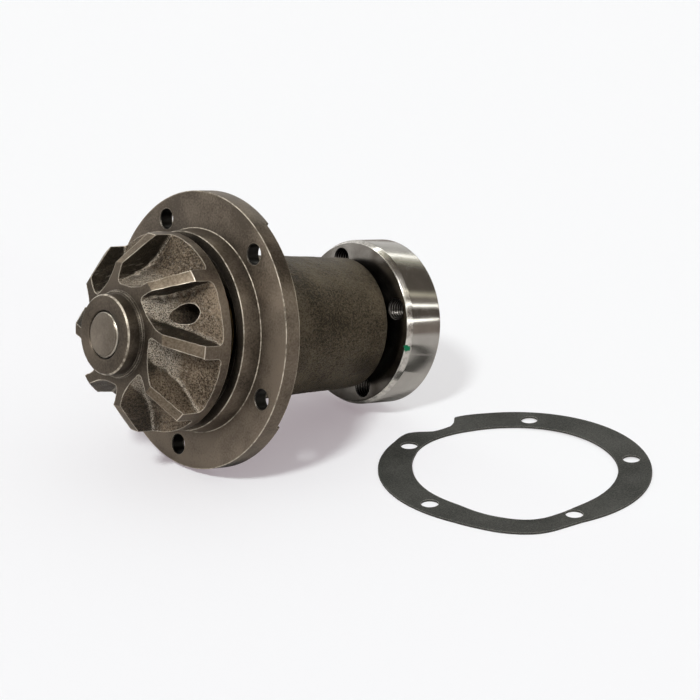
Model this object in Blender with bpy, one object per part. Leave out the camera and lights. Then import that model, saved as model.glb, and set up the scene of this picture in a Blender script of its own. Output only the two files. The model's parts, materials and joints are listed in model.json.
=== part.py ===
"""Automotive water pump resting on a bench, with its loose flange gasket beside it.

The shaft runs along X: the impeller is at the -X end and the drive hub at the +X end.
The origin is the centre of the drive hub's outer face, where the shaft ends flush with it,
and +Z is up across the shaft. Lengths below are in millimetres, and those along the shaft
count from the flange's mounting face. On a bench the pump lies on the rims of its flange
and its hub, so the gasket beside it lies on a plane tilted about Y.
"""

import math

import bmesh
import bpy
from mathutils import Matrix, Vector

MM = 0.001
TURN = 2 * math.pi
FIT_GAP = 0.3
SEAM_WELD = 0.001
OUTER_SEGMENTS = 48
INNER_SEGMENTS = 24

FLANGE_RADIUS = 50.0
FLANGE_BACK = 7.5
FLANGE_PITCH_RADIUS = 43.0
FLANGE_HOLE_RADIUS = 3.6
FLANGE_HOLES = 5
FLANGE_FIRST_HOLE = -35.0
SPOT_FACE = 5.3
SPOT_FACE_RADIUS = 6.0
RELIEF_FLOOR = 6.15
RELIEF_START = 27.0
RELIEF_SWEEP = 91.5
RELIEF_INNER_RADIUS = 38.0
CUT_BEYOND = 2.0

SPIGOT_LENGTH = 7.0
SPIGOT_ROOT_RADIUS = 36.6
SPIGOT_END_RADIUS = 35.7
SPIGOT_BORE_RADIUS = 31.5
RECESS_FLOOR = 1.5
RECESS_FLOOR_RADIUS = 30.5

NECK_START_RADIUS = 27.1
NECK_END = 71.5
NECK_END_RADIUS = 24.64
NECK_FILLET = 4.0

SEAL_BORE_RADIUS = 18.3
SEAL_BORE_END = 13.0
SHAFT_OPENING_RADIUS = 12.0
DRAIN_START = 15.5
DRAIN_RADIUS = 17.0
WEEP_HOLE_RADIUS = 2.5
WEEP_HOLE_TOP = 12.0
WEEP_HOLE_LENGTH = 20.0

BEARING_RADIUS = 19.05
BEARING_BORE_CHAMFER = 0.8
BEARING_START = 22.8
BEARING_END = 67.8
BEARING_LAND_RADIUS = 15.85
BEARING_RECESS_RADIUS = 16.4
BEARING_RECESS_DEPTH = 2.0
BALL_ROWS = {"front": 33.0, "rear": 58.0}
BALLS_PER_ROW = 7
BALL_RADIUS = 4.2
BALL_PITCH_RADIUS = 12.7
GROOVE_RADIUS = BALL_RADIUS + FIT_GAP
SNAP_RING_START = 68.4
SNAP_RING_WIDTH = 1.5
SNAP_GROOVE_DEPTH = 1.8
SNAP_RING_OPENING = 40.0

SHAFT_FRONT = -41.0
SHAFT_SEAL_RADIUS = 8.0
SHAFT_STEP = 16.2
SHAFT_BEARING_RADIUS = 9.525

HUB_START = 76.2
HUB_CHAMFER_END = 78.6
HUB_END = 93.1
SHAFT_END = HUB_END
HUB_FACE_RADIUS = 30.2
HUB_RADIUS = 31.3
HUB_PITCH_RADIUS = 25.0
HUB_HOLE_RADIUS = 3.3
HUB_HOLES = 4
HUB_FIRST_HOLE = -26.2

IMPELLER_RADIUS = 35.5
IMPELLER_BACK = -12.3
IMPELLER_CONE_END = -23.3
IMPELLER_FACE = -34.5
IMPELLER_FACE_RADIUS = 25.0
IMPELLER_STEP_RADIUS = 15.2
IMPELLER_STEP = -35.3
BOSS_RADIUS = 14.2
BOSS_FRONT = -40.5
BOSS_CHAMFER = 1.0
SEAT_RECESS_RADIUS = 14.9
SEAT_RECESS_END = -18.2
VANES = 8
FIRST_VANE = -3.7
BALANCE_HOLE_RADIUS = 3.6
BALANCE_HOLE_AT = 24.4
BALANCE_HOLE_ANGLES = (59.5, 239.5)

# Plan of one pocket between two vanes: x across and y outward from the shaft, with the
# leading vane's outer end at x = 0. Each corner has its fillet radius.
POCKET_CORNERS = ((3.63, 41.0), (-3.4, 16.9), (7.1, 16.9), (30.6, 30.4))
POCKET_FILLETS = (0.0, 2.4, 24.5, 0.0)
POCKET_TOP = -46.0
POCKET_DRAFT = math.tan(math.radians(3.0))
POCKET_FLOOR_FILLET = 1.8
POCKET_MEAN_DEPTH = 9.0
# Radius and height of the pockets' floor, from the boss out to the rim.
POCKET_FLOOR = (
    (17.2, -34.5), (19.5, -30.5), (21.0, -26.5), (24.0, -22.3),
    (27.5, -19.6), (31.0, -17.8), (35.5, -16.0), (41.0, -14.6),
)
POCKET_ROWS = 8
POCKET_COLUMNS = 4
POCKET_FILLET_STEPS = 2

SPRING_RADIUS = 15.7
SPRING_WIRE = 0.7
SPRING_TURNS = 4
SPRING_START = 10.9
SPRING_END = -3.6

GASKET_THICKNESS = 0.8
GASKET_HOLE_RADIUS = 3.15
GASKET_ALONG_BENCH = 77.35
GASKET_ACROSS_BENCH = -85.2
GASKET_HEADING = 109.6
# Angle and radius of the gasket's edges, from the first hole round clockwise.
GASKET_OUTER = (
    (0, 49.6), (9, 50.2), (13, 49.2), (21, 44.2), (31, 44.0), (35, 46.5), (38, 50.6),
    (54, 50.2), (72, 50.0), (108, 49.6), (144, 49.4), (180, 49.4), (216, 49.2),
    (224, 50.6), (232, 52.8), (239, 53.6), (249, 52.8), (259, 51.0), (270, 49.6),
    (288, 49.2), (324, 49.4),
)
GASKET_INNER = (
    (0, 38.6), (12, 38.8), (26, 38.2), (40, 37.3), (60, 36.9), (90, 36.9), (120, 36.9),
    (150, 37.2), (180, 37.2), (200, 37.6), (212, 38.6), (224, 41.0), (232, 42.8),
    (240, 43.2), (250, 41.9), (262, 39.8), (276, 37.4), (300, 36.9), (330, 36.9),
    (350, 37.8),
)
GASKET_HOLE_SEGMENTS = 16


def clear_scene():
    for obj in list(bpy.data.objects):
        bpy.data.objects.remove(obj, do_unlink=True)


def material(name, colour, roughness, metallic):
    made = bpy.data.materials.new(name)
    made.use_nodes = True
    made.diffuse_color = (*colour, 1.0)
    shader = made.node_tree.nodes["Principled BSDF"]
    shader.inputs["Base Color"].default_value = (*colour, 1.0)
    shader.inputs["Roughness"].default_value = roughness
    shader.inputs["Metallic"].default_value = metallic
    return made


def axis_empty(name, x, parent=None):
    """An empty on the shaft's axis, which carries the pieces that move together."""
    empty = bpy.data.objects.new(name, None)
    empty.empty_display_size = 10 * MM
    empty.location = (x * MM, 0, 0)
    empty.parent = parent
    bpy.context.scene.collection.objects.link(empty)
    return empty


def object_from(name, shape, surface, parent, location=(0, 0, 0)):
    """Makes an object from a bmesh in millimetres, under an empty on the shaft's axis."""
    bmesh.ops.scale(shape, vec=(MM, MM, MM), verts=shape.verts)
    bmesh.ops.recalc_face_normals(shape, faces=shape.faces)
    mesh = bpy.data.meshes.new(name)
    shape.to_mesh(mesh)
    shape.free()
    mesh.shade_smooth()
    mesh.set_sharp_from_angle(angle=math.radians(30))
    obj = bpy.data.objects.new(name, mesh)
    bpy.context.scene.collection.objects.link(obj)
    obj.location = Vector(location) * MM
    obj.parent = parent
    if surface:
        mesh.materials.append(surface)
    return obj


def cutter_from(name, shape, parent):
    obj = object_from(name, shape, None, parent)
    obj.hide_render = True
    obj.display_type = "WIRE"
    return obj


def cut(obj, cutter):
    boolean = obj.modifiers.new(cutter.name, "BOOLEAN")
    boolean.operation = "DIFFERENCE"
    boolean.object = cutter


def turned(profile, segments, angle=TURN):
    """Spins a closed outline of (x, radius) points about the X axis."""
    shape = bmesh.new()
    corners = [shape.verts.new((x, 0, radius)) for x, radius in profile]
    for first, second in zip(corners, corners[1:] + corners[:1]):
        shape.edges.new((first, second))
    bmesh.ops.spin(
        shape, geom=shape.verts[:] + shape.edges[:], cent=(0, 0, 0), axis=(1, 0, 0),
        angle=angle, steps=segments, use_duplicate=False,
    )
    bmesh.ops.remove_doubles(shape, verts=shape.verts, dist=SEAM_WELD)
    if angle < TURN:
        ends = [edge for edge in shape.edges if edge.is_boundary]
        bmesh.ops.holes_fill(shape, edges=ends, sides=0)
    return shape


def turned_solid(profile, segments):
    """Spins an outline that starts and ends on the axis, such as a shaft's."""
    shape = bmesh.new()
    corners = [shape.verts.new((x, 0, radius)) for x, radius in profile]
    for first, second in zip(corners, corners[1:]):
        shape.edges.new((first, second))
    bmesh.ops.spin(
        shape, geom=shape.verts[:] + shape.edges[:], cent=(0, 0, 0), axis=(1, 0, 0),
        angle=TURN, steps=segments, use_duplicate=False,
    )
    bmesh.ops.remove_doubles(shape, verts=shape.verts, dist=SEAM_WELD)
    return shape


def around(radius, degrees):
    """Y and Z of a point this far round, clockwise from the top as the impeller faces us."""
    turn = math.radians(degrees)
    return -radius * math.sin(turn), radius * math.cos(turn)


def add_drill(shape, start, end, radius, pitch_radius, degrees, segments=16):
    """Adds a cylinder that runs along X, for a hole through a turned piece."""
    y, z = around(pitch_radius, degrees)
    place = Matrix.Translation(((start + end) / 2, y, z)) @ Matrix.Rotation(math.pi / 2, 4, "Y")
    bmesh.ops.create_cone(
        shape, cap_ends=True, segments=segments, radius1=radius, radius2=radius,
        depth=end - start, matrix=place,
    )


def drill_ring(name, parent, start, end, radius, pitch_radius, angles):
    shape = bmesh.new()
    for degrees in angles:
        add_drill(shape, start, end, radius, pitch_radius, degrees)
    return cutter_from(name, shape, parent)


def circle_arc(x, centre_radius, radius, land_radius, steps, inward):
    """A ball groove across a land, from low x to high x."""
    half = math.acos(abs(land_radius - centre_radius) / radius)
    side = -1 if inward else 1
    points = []
    for step in range(steps + 1):
        turn = -half + 2 * half * step / steps
        points.append((x + radius * math.sin(turn), centre_radius + side * radius * math.cos(turn)))
    return points


# Housing


def housing_profile():
    fillet_centre = (FLANGE_BACK + NECK_FILLET, NECK_START_RADIUS + NECK_FILLET)
    fillet = []
    for step in range(4):
        turn = math.radians(30 * step)
        fillet.append((
            fillet_centre[0] - NECK_FILLET * math.cos(turn),
            fillet_centre[1] - NECK_FILLET * math.sin(turn),
        ))
    bearing_bore = BEARING_RADIUS + FIT_GAP
    groove_start, groove_end = SNAP_RING_START - FIT_GAP, SNAP_RING_START + SNAP_RING_WIDTH + FIT_GAP
    groove_radius = bearing_bore + SNAP_GROOVE_DEPTH
    return [
        (-SPIGOT_LENGTH, SPIGOT_BORE_RADIUS), (-SPIGOT_LENGTH, SPIGOT_END_RADIUS),
        (0, SPIGOT_ROOT_RADIUS), (0, FLANGE_RADIUS), (FLANGE_BACK, FLANGE_RADIUS), *fillet,
        (NECK_END, NECK_END_RADIUS), (NECK_END, bearing_bore + BEARING_BORE_CHAMFER),
        (NECK_END - BEARING_BORE_CHAMFER, bearing_bore), (groove_end, bearing_bore),
        (groove_end, groove_radius), (groove_start, groove_radius), (groove_start, bearing_bore),
        (BEARING_START - FIT_GAP, bearing_bore), (BEARING_START - FIT_GAP, DRAIN_RADIUS),
        (DRAIN_START, DRAIN_RADIUS), (DRAIN_START, SHAFT_OPENING_RADIUS),
        (SEAL_BORE_END, SHAFT_OPENING_RADIUS), (SEAL_BORE_END, SEAL_BORE_RADIUS),
        (RECESS_FLOOR, SEAL_BORE_RADIUS), (RECESS_FLOOR, RECESS_FLOOR_RADIUS),
    ]


def make_housing(cast_iron, pump):
    housing = object_from("housing", turned(housing_profile(), OUTER_SEGMENTS), cast_iron, pump)
    angles = [FLANGE_FIRST_HOLE + 360 / FLANGE_HOLES * hole for hole in range(FLANGE_HOLES)]
    beyond = FLANGE_BACK + CUT_BEYOND
    cut(housing, drill_ring(
        "flange_hole_cutter", pump, -CUT_BEYOND, beyond, FLANGE_HOLE_RADIUS, FLANGE_PITCH_RADIUS,
        angles,
    ))
    cut(housing, drill_ring(
        "spot_face_cutter", pump, SPOT_FACE, beyond, SPOT_FACE_RADIUS, FLANGE_PITCH_RADIUS, angles,
    ))
    cut(housing, relief_cutter(pump))
    weep = bmesh.new()
    place = ((DRAIN_START + BEARING_START) / 2, 0, -WEEP_HOLE_TOP - WEEP_HOLE_LENGTH / 2)
    bmesh.ops.create_cone(
        weep, cap_ends=True, segments=12, radius1=WEEP_HOLE_RADIUS, radius2=WEEP_HOLE_RADIUS,
        depth=WEEP_HOLE_LENGTH, matrix=Matrix.Translation(place),
    )
    cut(housing, cutter_from("weep_hole_cutter", weep, pump))


def relief_cutter(pump):
    """The step in the flange's back, on the arc where its rim is thinner."""
    outer, beyond = FLANGE_RADIUS + CUT_BEYOND, FLANGE_BACK + CUT_BEYOND
    profile = [
        (RELIEF_FLOOR, RELIEF_INNER_RADIUS), (RELIEF_FLOOR, outer), (beyond, outer),
        (beyond, RELIEF_INNER_RADIUS),
    ]
    sector = turned(profile, INNER_SEGMENTS, math.radians(RELIEF_SWEEP))
    cutter = cutter_from("relief_cutter", sector, pump)
    cutter.rotation_euler.x = math.radians(RELIEF_START)
    return cutter


# Impeller


def impeller_profile():
    bore = SHAFT_SEAL_RADIUS + FIT_GAP
    return [
        (BOSS_FRONT, bore + 1.0), (BOSS_FRONT, BOSS_RADIUS - BOSS_CHAMFER),
        (BOSS_FRONT + BOSS_CHAMFER, BOSS_RADIUS), (IMPELLER_STEP, BOSS_RADIUS),
        (IMPELLER_STEP, IMPELLER_STEP_RADIUS), (IMPELLER_FACE, IMPELLER_STEP_RADIUS),
        (IMPELLER_FACE, IMPELLER_FACE_RADIUS), (IMPELLER_CONE_END, IMPELLER_RADIUS),
        (IMPELLER_BACK, IMPELLER_RADIUS), (IMPELLER_BACK, SEAT_RECESS_RADIUS),
        (SEAT_RECESS_END, SEAT_RECESS_RADIUS), (SEAT_RECESS_END, bore),
        (BOSS_FRONT + 1.0, bore),
    ]


def floor_height(radius):
    """The pockets' floor at this radius, straight between the outline's points."""
    for (inner, low), (outer, high) in zip(POCKET_FLOOR, POCKET_FLOOR[1:]):
        if radius <= outer or outer == POCKET_FLOOR[-1][0]:
            return low + (high - low) * (radius - inner) / (outer - inner)


def inset_corners(corners, distance):
    """Moves each side of a counter-clockwise polygon inward and meets the sides again."""
    sides = []
    for start, end in zip(corners, corners[1:] + corners[:1]):
        along = (Vector(end) - Vector(start)).normalized()
        inward = Vector((-along.y, along.x))
        sides.append((Vector(start) + inward * distance, along))
    moved = []
    for (first, along_first), (second, along_second) in zip([sides[-1]] + sides[:-1], sides):
        across = along_first.cross(along_second)
        reach = (second - first).cross(along_second) / across
        moved.append(first + along_first * reach)
    return moved


def rounded(corners, fillets, steps=12):
    """The polygon with its corners rounded, as a dense open outline from its first corner."""
    points = [corners[0]]
    for index in range(1, len(corners) - 1):
        corner, radius = corners[index], fillets[index]
        back = (corners[index - 1] - corner).normalized()
        ahead = (corners[index + 1] - corner).normalized()
        half = back.angle(ahead) / 2
        centre = corner + (back + ahead).normalized() * radius / math.sin(half)
        first = corner + back * radius / math.tan(half) - centre
        last = corner + ahead * radius / math.tan(half) - centre
        sweep = first.angle_signed(last)
        for step in range(steps + 1):
            turn = -sweep * step / steps
            points.append(centre + Matrix.Rotation(turn, 2) @ first)
    points.append(corners[-1])
    return points


def dense(points, spacing=0.25):
    filled = []
    for start, end in zip(points, points[1:]):
        parts = max(1, int((end - start).length / spacing))
        filled.extend(start.lerp(end, part / parts) for part in range(parts))
    return filled + [points[-1]]


def edge_angle(side, radius):
    """Angle from straight out at which one side of the pocket's outline crosses a radius."""
    for near, far in zip(side, side[1:]):
        if near.length <= radius <= far.length:
            share = (radius - near.length) / max(far.length - near.length, 1e-9)
            point = near.lerp(far, share)
            return math.atan2(point.x, point.y)
    return math.atan2(side[-1].x, side[-1].y)


def pocket_rows(inset):
    """Rows of (radius, angle) across the pocket, from its inner end to past the rim."""
    corners = [Vector(corner) for corner in POCKET_CORNERS]
    fillets = [max(radius - inset, 0.4) for radius in POCKET_FILLETS]
    outline = dense(rounded(inset_corners(corners, inset), fillets))
    inner = min(range(len(outline)), key=lambda index: outline[index].length)
    leading = outline[inner::-1]
    trailing = outline[inner:]
    low = outline[inner].length + 0.05
    high = min(leading[-1].length, trailing[-1].length) - 0.05
    rows = []
    for row in range(POCKET_ROWS + 1):
        radius = low + (high - low) * (row / POCKET_ROWS) ** 1.3
        start, end = edge_angle(leading, radius), edge_angle(trailing, radius)
        columns = range(POCKET_COLUMNS + 1)
        rows.append([(radius, start + (end - start) * part / POCKET_COLUMNS) for part in columns])
    return rows


def rim_of(rows):
    """The points round a grid's edge, once round."""
    left = [row[0] for row in rows[::-1]]
    right = [row[-1] for row in rows]
    return left + rows[0][1:-1] + right + rows[-1][-2:0:-1]


def pocket_cutter(rotor):
    """Eight closed solids, each the space between two vanes, with drafted walls."""
    shape = bmesh.new()
    for vane in range(VANES):
        grid_angle = FIRST_VANE + 360 / VANES * vane
        add_pocket(shape, grid_angle)
    return cutter_from("pocket_cutter", shape, rotor)


def add_pocket(shape, grid_angle):
    def corner(polar, height):
        radius, angle = polar
        y, z = around(radius, grid_angle + math.degrees(angle))
        return shape.verts.new((height, y, z))

    walls = []
    base_inset = POCKET_DRAFT * POCKET_MEAN_DEPTH
    for step in range(POCKET_FILLET_STEPS + 1):
        turn = math.pi / 2 * step / POCKET_FILLET_STEPS
        rise = POCKET_FLOOR_FILLET * (1 - math.cos(turn))
        inset = base_inset + POCKET_FLOOR_FILLET * (1 - math.sin(turn))
        rows = pocket_rows(inset)
        if step == 0:
            floor = [[corner(p, floor_height(p[0])) for p in row] for row in rows]
            walls.append(rim_of(floor))
        else:
            walls.append([corner(p, floor_height(p[0]) - rise) for p in rim_of(rows)])
    top_inset = POCKET_DRAFT * (POCKET_TOP - IMPELLER_FACE)
    top = [[corner(p, POCKET_TOP) for p in row] for row in pocket_rows(top_inset)]
    walls.append(rim_of(top))
    for grid in (floor, top):
        for low, high in zip(grid, grid[1:]):
            for column in range(POCKET_COLUMNS):
                shape.faces.new((low[column], low[column + 1], high[column + 1], high[column]))
    for below, above in zip(walls, walls[1:]):
        count = len(below)
        for index in range(count):
            after = (index + 1) % count
            shape.faces.new((below[index], below[after], above[after], above[index]))


def make_impeller(cast_iron, rotor):
    impeller = object_from("impeller", turned(impeller_profile(), OUTER_SEGMENTS), cast_iron, rotor)
    cut(impeller, pocket_cutter(rotor))
    cut(impeller, drill_ring(
        "balance_hole_cutter", rotor, POCKET_TOP, IMPELLER_BACK + CUT_BEYOND,
        BALANCE_HOLE_RADIUS, BALANCE_HOLE_AT, BALANCE_HOLE_ANGLES,
    ))


# Shaft, hub and slinger


def make_shaft(steel, rotor):
    profile = [
        (SHAFT_FRONT, 0), (SHAFT_FRONT, SHAFT_SEAL_RADIUS - 0.8),
        (SHAFT_FRONT + 0.8, SHAFT_SEAL_RADIUS), (SHAFT_STEP, SHAFT_SEAL_RADIUS),
        (SHAFT_STEP + 0.7, SHAFT_BEARING_RADIUS),
    ]
    for x in BALL_ROWS.values():
        profile += circle_arc(x, BALL_PITCH_RADIUS, GROOVE_RADIUS, SHAFT_BEARING_RADIUS, 4, True)
    profile += [
        (SHAFT_END - 0.6, SHAFT_BEARING_RADIUS), (SHAFT_END, SHAFT_BEARING_RADIUS - 0.6),
        (SHAFT_END, 0),
    ]
    object_from("pump_shaft", turned_solid(profile, INNER_SEGMENTS), steel, rotor)


def make_drive_hub(steel, rotor):
    bore = SHAFT_BEARING_RADIUS + FIT_GAP
    profile = [
        (HUB_START, bore), (HUB_START, HUB_FACE_RADIUS), (HUB_CHAMFER_END, HUB_RADIUS),
        (HUB_END - 0.6, HUB_RADIUS), (HUB_END, HUB_RADIUS - 0.6), (HUB_END, bore + 0.6),
        (HUB_END - 0.6, bore),
    ]
    hub = object_from("drive_hub", turned(profile, OUTER_SEGMENTS), steel, rotor)
    angles = [HUB_FIRST_HOLE + 360 / HUB_HOLES * hole for hole in range(HUB_HOLES)]
    cut(hub, drill_ring(
        "hub_hole_cutter", rotor, HUB_START - CUT_BEYOND, HUB_END + CUT_BEYOND,
        HUB_HOLE_RADIUS, HUB_PITCH_RADIUS, angles,
    ))


def make_slinger(steel, rotor):
    """The dished disc that throws off any drip before it reaches the bearing."""
    bore = SHAFT_BEARING_RADIUS + FIT_GAP
    profile = [
        (17.6, bore), (17.6, 12.0), (18.8, 14.6), (19.5, 14.6), (18.4, 11.6), (19.6, 11.6),
        (19.6, bore),
    ]
    object_from("slinger", turned(profile, INNER_SEGMENTS), steel, rotor)


# Bearing


def make_outer_ring(steel, pump):
    profile = [
        (BEARING_START, BEARING_RADIUS), (BEARING_END, BEARING_RADIUS),
        (BEARING_END, BEARING_RECESS_RADIUS),
        (BEARING_END - BEARING_RECESS_DEPTH, BEARING_RECESS_RADIUS),
        (BEARING_END - BEARING_RECESS_DEPTH, BEARING_LAND_RADIUS),
    ]
    for x in sorted(BALL_ROWS.values(), reverse=True):
        groove = circle_arc(x, BALL_PITCH_RADIUS, GROOVE_RADIUS, BEARING_LAND_RADIUS, 4, False)
        profile += groove[::-1]
    profile += [
        (BEARING_START + BEARING_RECESS_DEPTH, BEARING_LAND_RADIUS),
        (BEARING_START + BEARING_RECESS_DEPTH, BEARING_RECESS_RADIUS),
        (BEARING_START, BEARING_RECESS_RADIUS),
    ]
    object_from("bearing_outer_ring", turned(profile, INNER_SEGMENTS), steel, pump)


def make_ball(name, steel, parent, degrees):
    shape = bmesh.new()
    bmesh.ops.create_icosphere(shape, subdivisions=2, radius=BALL_RADIUS)
    y, z = around(BALL_PITCH_RADIUS, degrees)
    object_from(name, shape, steel, parent, (0, y, z))


def make_cage(name, plastic, parent):
    """A crown cage: a ring with a round pocket for each ball, open on the impeller side."""
    inner, outer, back, front = 10.6, 14.8, -2.0, 5.4
    profile = [(back, inner), (back, outer), (front, outer), (front, inner)]
    cage = object_from(name, turned(profile, INNER_SEGMENTS), plastic, parent)
    pockets = bmesh.new()
    for ball in range(BALLS_PER_ROW):
        y, z = around(BALL_PITCH_RADIUS, 360 / BALLS_PER_ROW * ball)
        bmesh.ops.create_uvsphere(
            pockets, u_segments=10, v_segments=6, radius=GROOVE_RADIUS + 0.1,
            matrix=Matrix.Translation((0, y, z)),
        )
    cut(cage, cutter_from(name + "_cutter", pockets, parent))


def make_ball_row(row, steel, plastic, pump):
    parent = axis_empty("ball_set_" + row, BALL_ROWS[row], pump)
    for ball in range(BALLS_PER_ROW):
        name = "bearing_ball_" + row + "_" + str(ball + 1)
        make_ball(name, steel, parent, 360 / BALLS_PER_ROW * ball)
    make_cage("bearing_cage_" + row, plastic, parent)


def make_bearing_seals(rubber, pump):
    inner, outer, width = SHAFT_BEARING_RADIUS + 0.4, BEARING_RECESS_RADIUS - FIT_GAP, 1.2
    starts = {"front": BEARING_START + 0.4, "rear": BEARING_END - 0.4 - width}
    for side, start in starts.items():
        profile = [(start, inner), (start, outer), (start + width, outer), (start + width, inner)]
        object_from("bearing_seal_" + side, turned(profile, INNER_SEGMENTS), rubber, pump)


def make_snap_ring(steel, pump):
    """The split ring that keeps the bearing in the neck."""
    start, end = SNAP_RING_START, SNAP_RING_START + SNAP_RING_WIDTH
    inner, outer = 17.0, BEARING_RADIUS + 1.75
    profile = [(start, inner), (start, outer), (end, outer), (end, inner)]
    sweep = math.radians(360 - SNAP_RING_OPENING)
    ring = object_from("bearing_snap_ring", turned(profile, INNER_SEGMENTS, sweep), steel, pump)
    ring.rotation_euler.x = math.radians(90 + SNAP_RING_OPENING / 2)


# Shaft seal


def make_seal_case(brass, pump):
    outer, inner, bottom = SEAL_BORE_RADIUS - FIT_GAP, 17.2, SEAL_BORE_END - FIT_GAP
    flange_front, flange_back, flange_radius = 0.4, RECESS_FLOOR - FIT_GAP, 20.8
    profile = [
        (flange_front, inner), (flange_front, flange_radius), (flange_back, flange_radius),
        (flange_back, outer), (bottom, outer), (bottom, 11.0), (bottom - 0.8, 11.0),
        (bottom - 0.8, inner),
    ]
    object_from("seal_case", turned(profile, INNER_SEGMENTS), brass, pump)


def make_seal_bellows(rubber, pump):
    """A folded rubber sleeve, from the case's floor to the carbon ring."""
    folds = [
        (11.5, 13.4), (10.4, 10.2), (7.4, 13.4), (4.4, 10.2), (1.4, 13.4), (-1.6, 10.2),
        (-4.2, 10.2),
    ]
    half_wall = 0.65
    profile = [(x, radius + half_wall) for x, radius in folds]
    profile += [(x, radius - half_wall) for x, radius in folds[::-1]]
    object_from("seal_bellows", turned(profile, INNER_SEGMENTS), rubber, pump)


def make_seal_spring(steel, pump):
    """The coil that presses the carbon ring on its seat, as a curve with a round bevel."""
    curve = bpy.data.curves.new("seal_spring", "CURVE")
    curve.dimensions = "3D"
    curve.bevel_depth = SPRING_WIRE * MM
    curve.bevel_resolution = 1
    curve.use_fill_caps = True
    steps = SPRING_TURNS * 12
    coil = curve.splines.new("POLY")
    coil.points.add(steps)
    for step, point in enumerate(coil.points):
        x = SPRING_START + (SPRING_END - SPRING_START) * step / steps
        y, z = around(SPRING_RADIUS, 360 * SPRING_TURNS * step / steps)
        point.co = (x * MM, y * MM, z * MM, 1)
    curve.materials.append(steel)
    spring = bpy.data.objects.new("seal_spring", curve)
    spring.parent = pump
    bpy.context.scene.collection.objects.link(spring)


def make_spring_retainer(steel, face):
    profile = [(-5.4, 9.2), (-5.4, 17.4), (-2.4, 17.4), (-2.4, 16.7), (-4.7, 16.7), (-4.7, 9.2)]
    object_from("seal_spring_retainer", turned(profile, INNER_SEGMENTS), steel, face)


def make_carbon_ring(carbon, face):
    profile = [
        (-5.7, 9.2), (-5.7, 14.2), (-8.2, 14.2), (-8.2, 12.2), (-10.8, 12.2), (-10.8, 9.8),
        (-9.0, 9.2),
    ]
    object_from("seal_carbon_ring", turned(profile, INNER_SEGMENTS), carbon, face)


def make_seal_seat(ceramic, rotor):
    profile = [(-11.1, 9.0), (-11.1, 13.0), (-16.3, 13.0), (-16.3, 9.0)]
    object_from("seal_seat", turned(profile, INNER_SEGMENTS), ceramic, rotor)


def make_seat_boot(rubber, rotor):
    outer, back = SEAT_RECESS_RADIUS - FIT_GAP, SEAT_RECESS_END + FIT_GAP
    profile = [(-11.9, 13.3), (-11.9, outer), (back, outer), (back, 9.0), (-16.6, 9.0), (-16.6, 13.3)]
    object_from("seal_seat_boot", turned(profile, INNER_SEGMENTS), rubber, rotor)


# Gasket


def add_loop(curve, points):
    loop = curve.splines.new("POLY")
    loop.points.add(len(points) - 1)
    for spline_point, (x, y) in zip(loop.points, points):
        spline_point.co = (x * MM, y * MM, 0, 1)
    loop.use_cyclic_u = True


def gasket_edge(outline):
    """The edge's points about the gasket's centre, clockwise from the first hole."""
    points = []
    for degrees, radius in outline:
        turn = math.radians(-degrees)
        points.append((radius * math.cos(turn), radius * math.sin(turn)))
    return points


def bench_frame():
    """The bench's plane: its origin below the flange, with its own X, Y and upward Z axes."""
    tilt = math.atan((FLANGE_RADIUS - HUB_RADIUS) / (HUB_END - FLANGE_BACK))
    drop = math.sin(tilt) * FLANGE_BACK + math.cos(tilt) * FLANGE_RADIUS
    turn = Matrix.Rotation(-tilt, 4, "Y")
    return turn @ Matrix.Translation((0, 0, -drop * MM))


def make_gasket(fibre, pump):
    curve = bpy.data.curves.new("gasket", "CURVE")
    curve.dimensions = "2D"
    curve.fill_mode = "BOTH"
    curve.extrude = GASKET_THICKNESS / 2 * MM
    add_loop(curve, gasket_edge(smooth_loop(GASKET_OUTER)))
    add_loop(curve, gasket_edge(smooth_loop(GASKET_INNER)))
    for hole in range(FLANGE_HOLES):
        turn = TURN / FLANGE_HOLES * hole
        centre = (FLANGE_PITCH_RADIUS * math.cos(turn), FLANGE_PITCH_RADIUS * math.sin(turn))
        steps = [TURN * step / GASKET_HOLE_SEGMENTS for step in range(GASKET_HOLE_SEGMENTS)]
        add_loop(curve, [
            (centre[0] + GASKET_HOLE_RADIUS * math.cos(step),
             centre[1] + GASKET_HOLE_RADIUS * math.sin(step)) for step in steps
        ])
    curve.materials.append(fibre)
    gasket = bpy.data.objects.new("gasket", curve)
    bpy.context.scene.collection.objects.link(gasket)
    height = GASKET_THICKNESS / 2
    place = Vector((GASKET_ALONG_BENCH, GASKET_ACROSS_BENCH, height)) * MM
    heading = Matrix.Rotation(math.radians(GASKET_HEADING), 4, "Z")
    gasket.parent = pump
    gasket.matrix_local = bench_frame() @ Matrix.Translation(place) @ heading


def smooth_loop(outline, parts=3):
    """Adds points between the outline's own, on a smooth closed curve through them."""
    count = len(outline)
    angles = [degrees for degrees, _ in outline]
    radii = [radius for _, radius in outline]
    filled = []
    for index in range(count):
        before, here = radii[index - 1], radii[index]
        after, later = radii[(index + 1) % count], radii[(index + 2) % count]
        span = (angles[(index + 1) % count] - angles[index]) % 360
        for part in range(parts):
            share = part / parts
            bend = (after - before) * share + (2 * before - 5 * here + 4 * after - later) * share ** 2
            bend += (3 * here - before - 3 * after + later) * share ** 3
            filled.append((angles[index] + span * share, here + bend / 2))
    return filled


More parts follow.
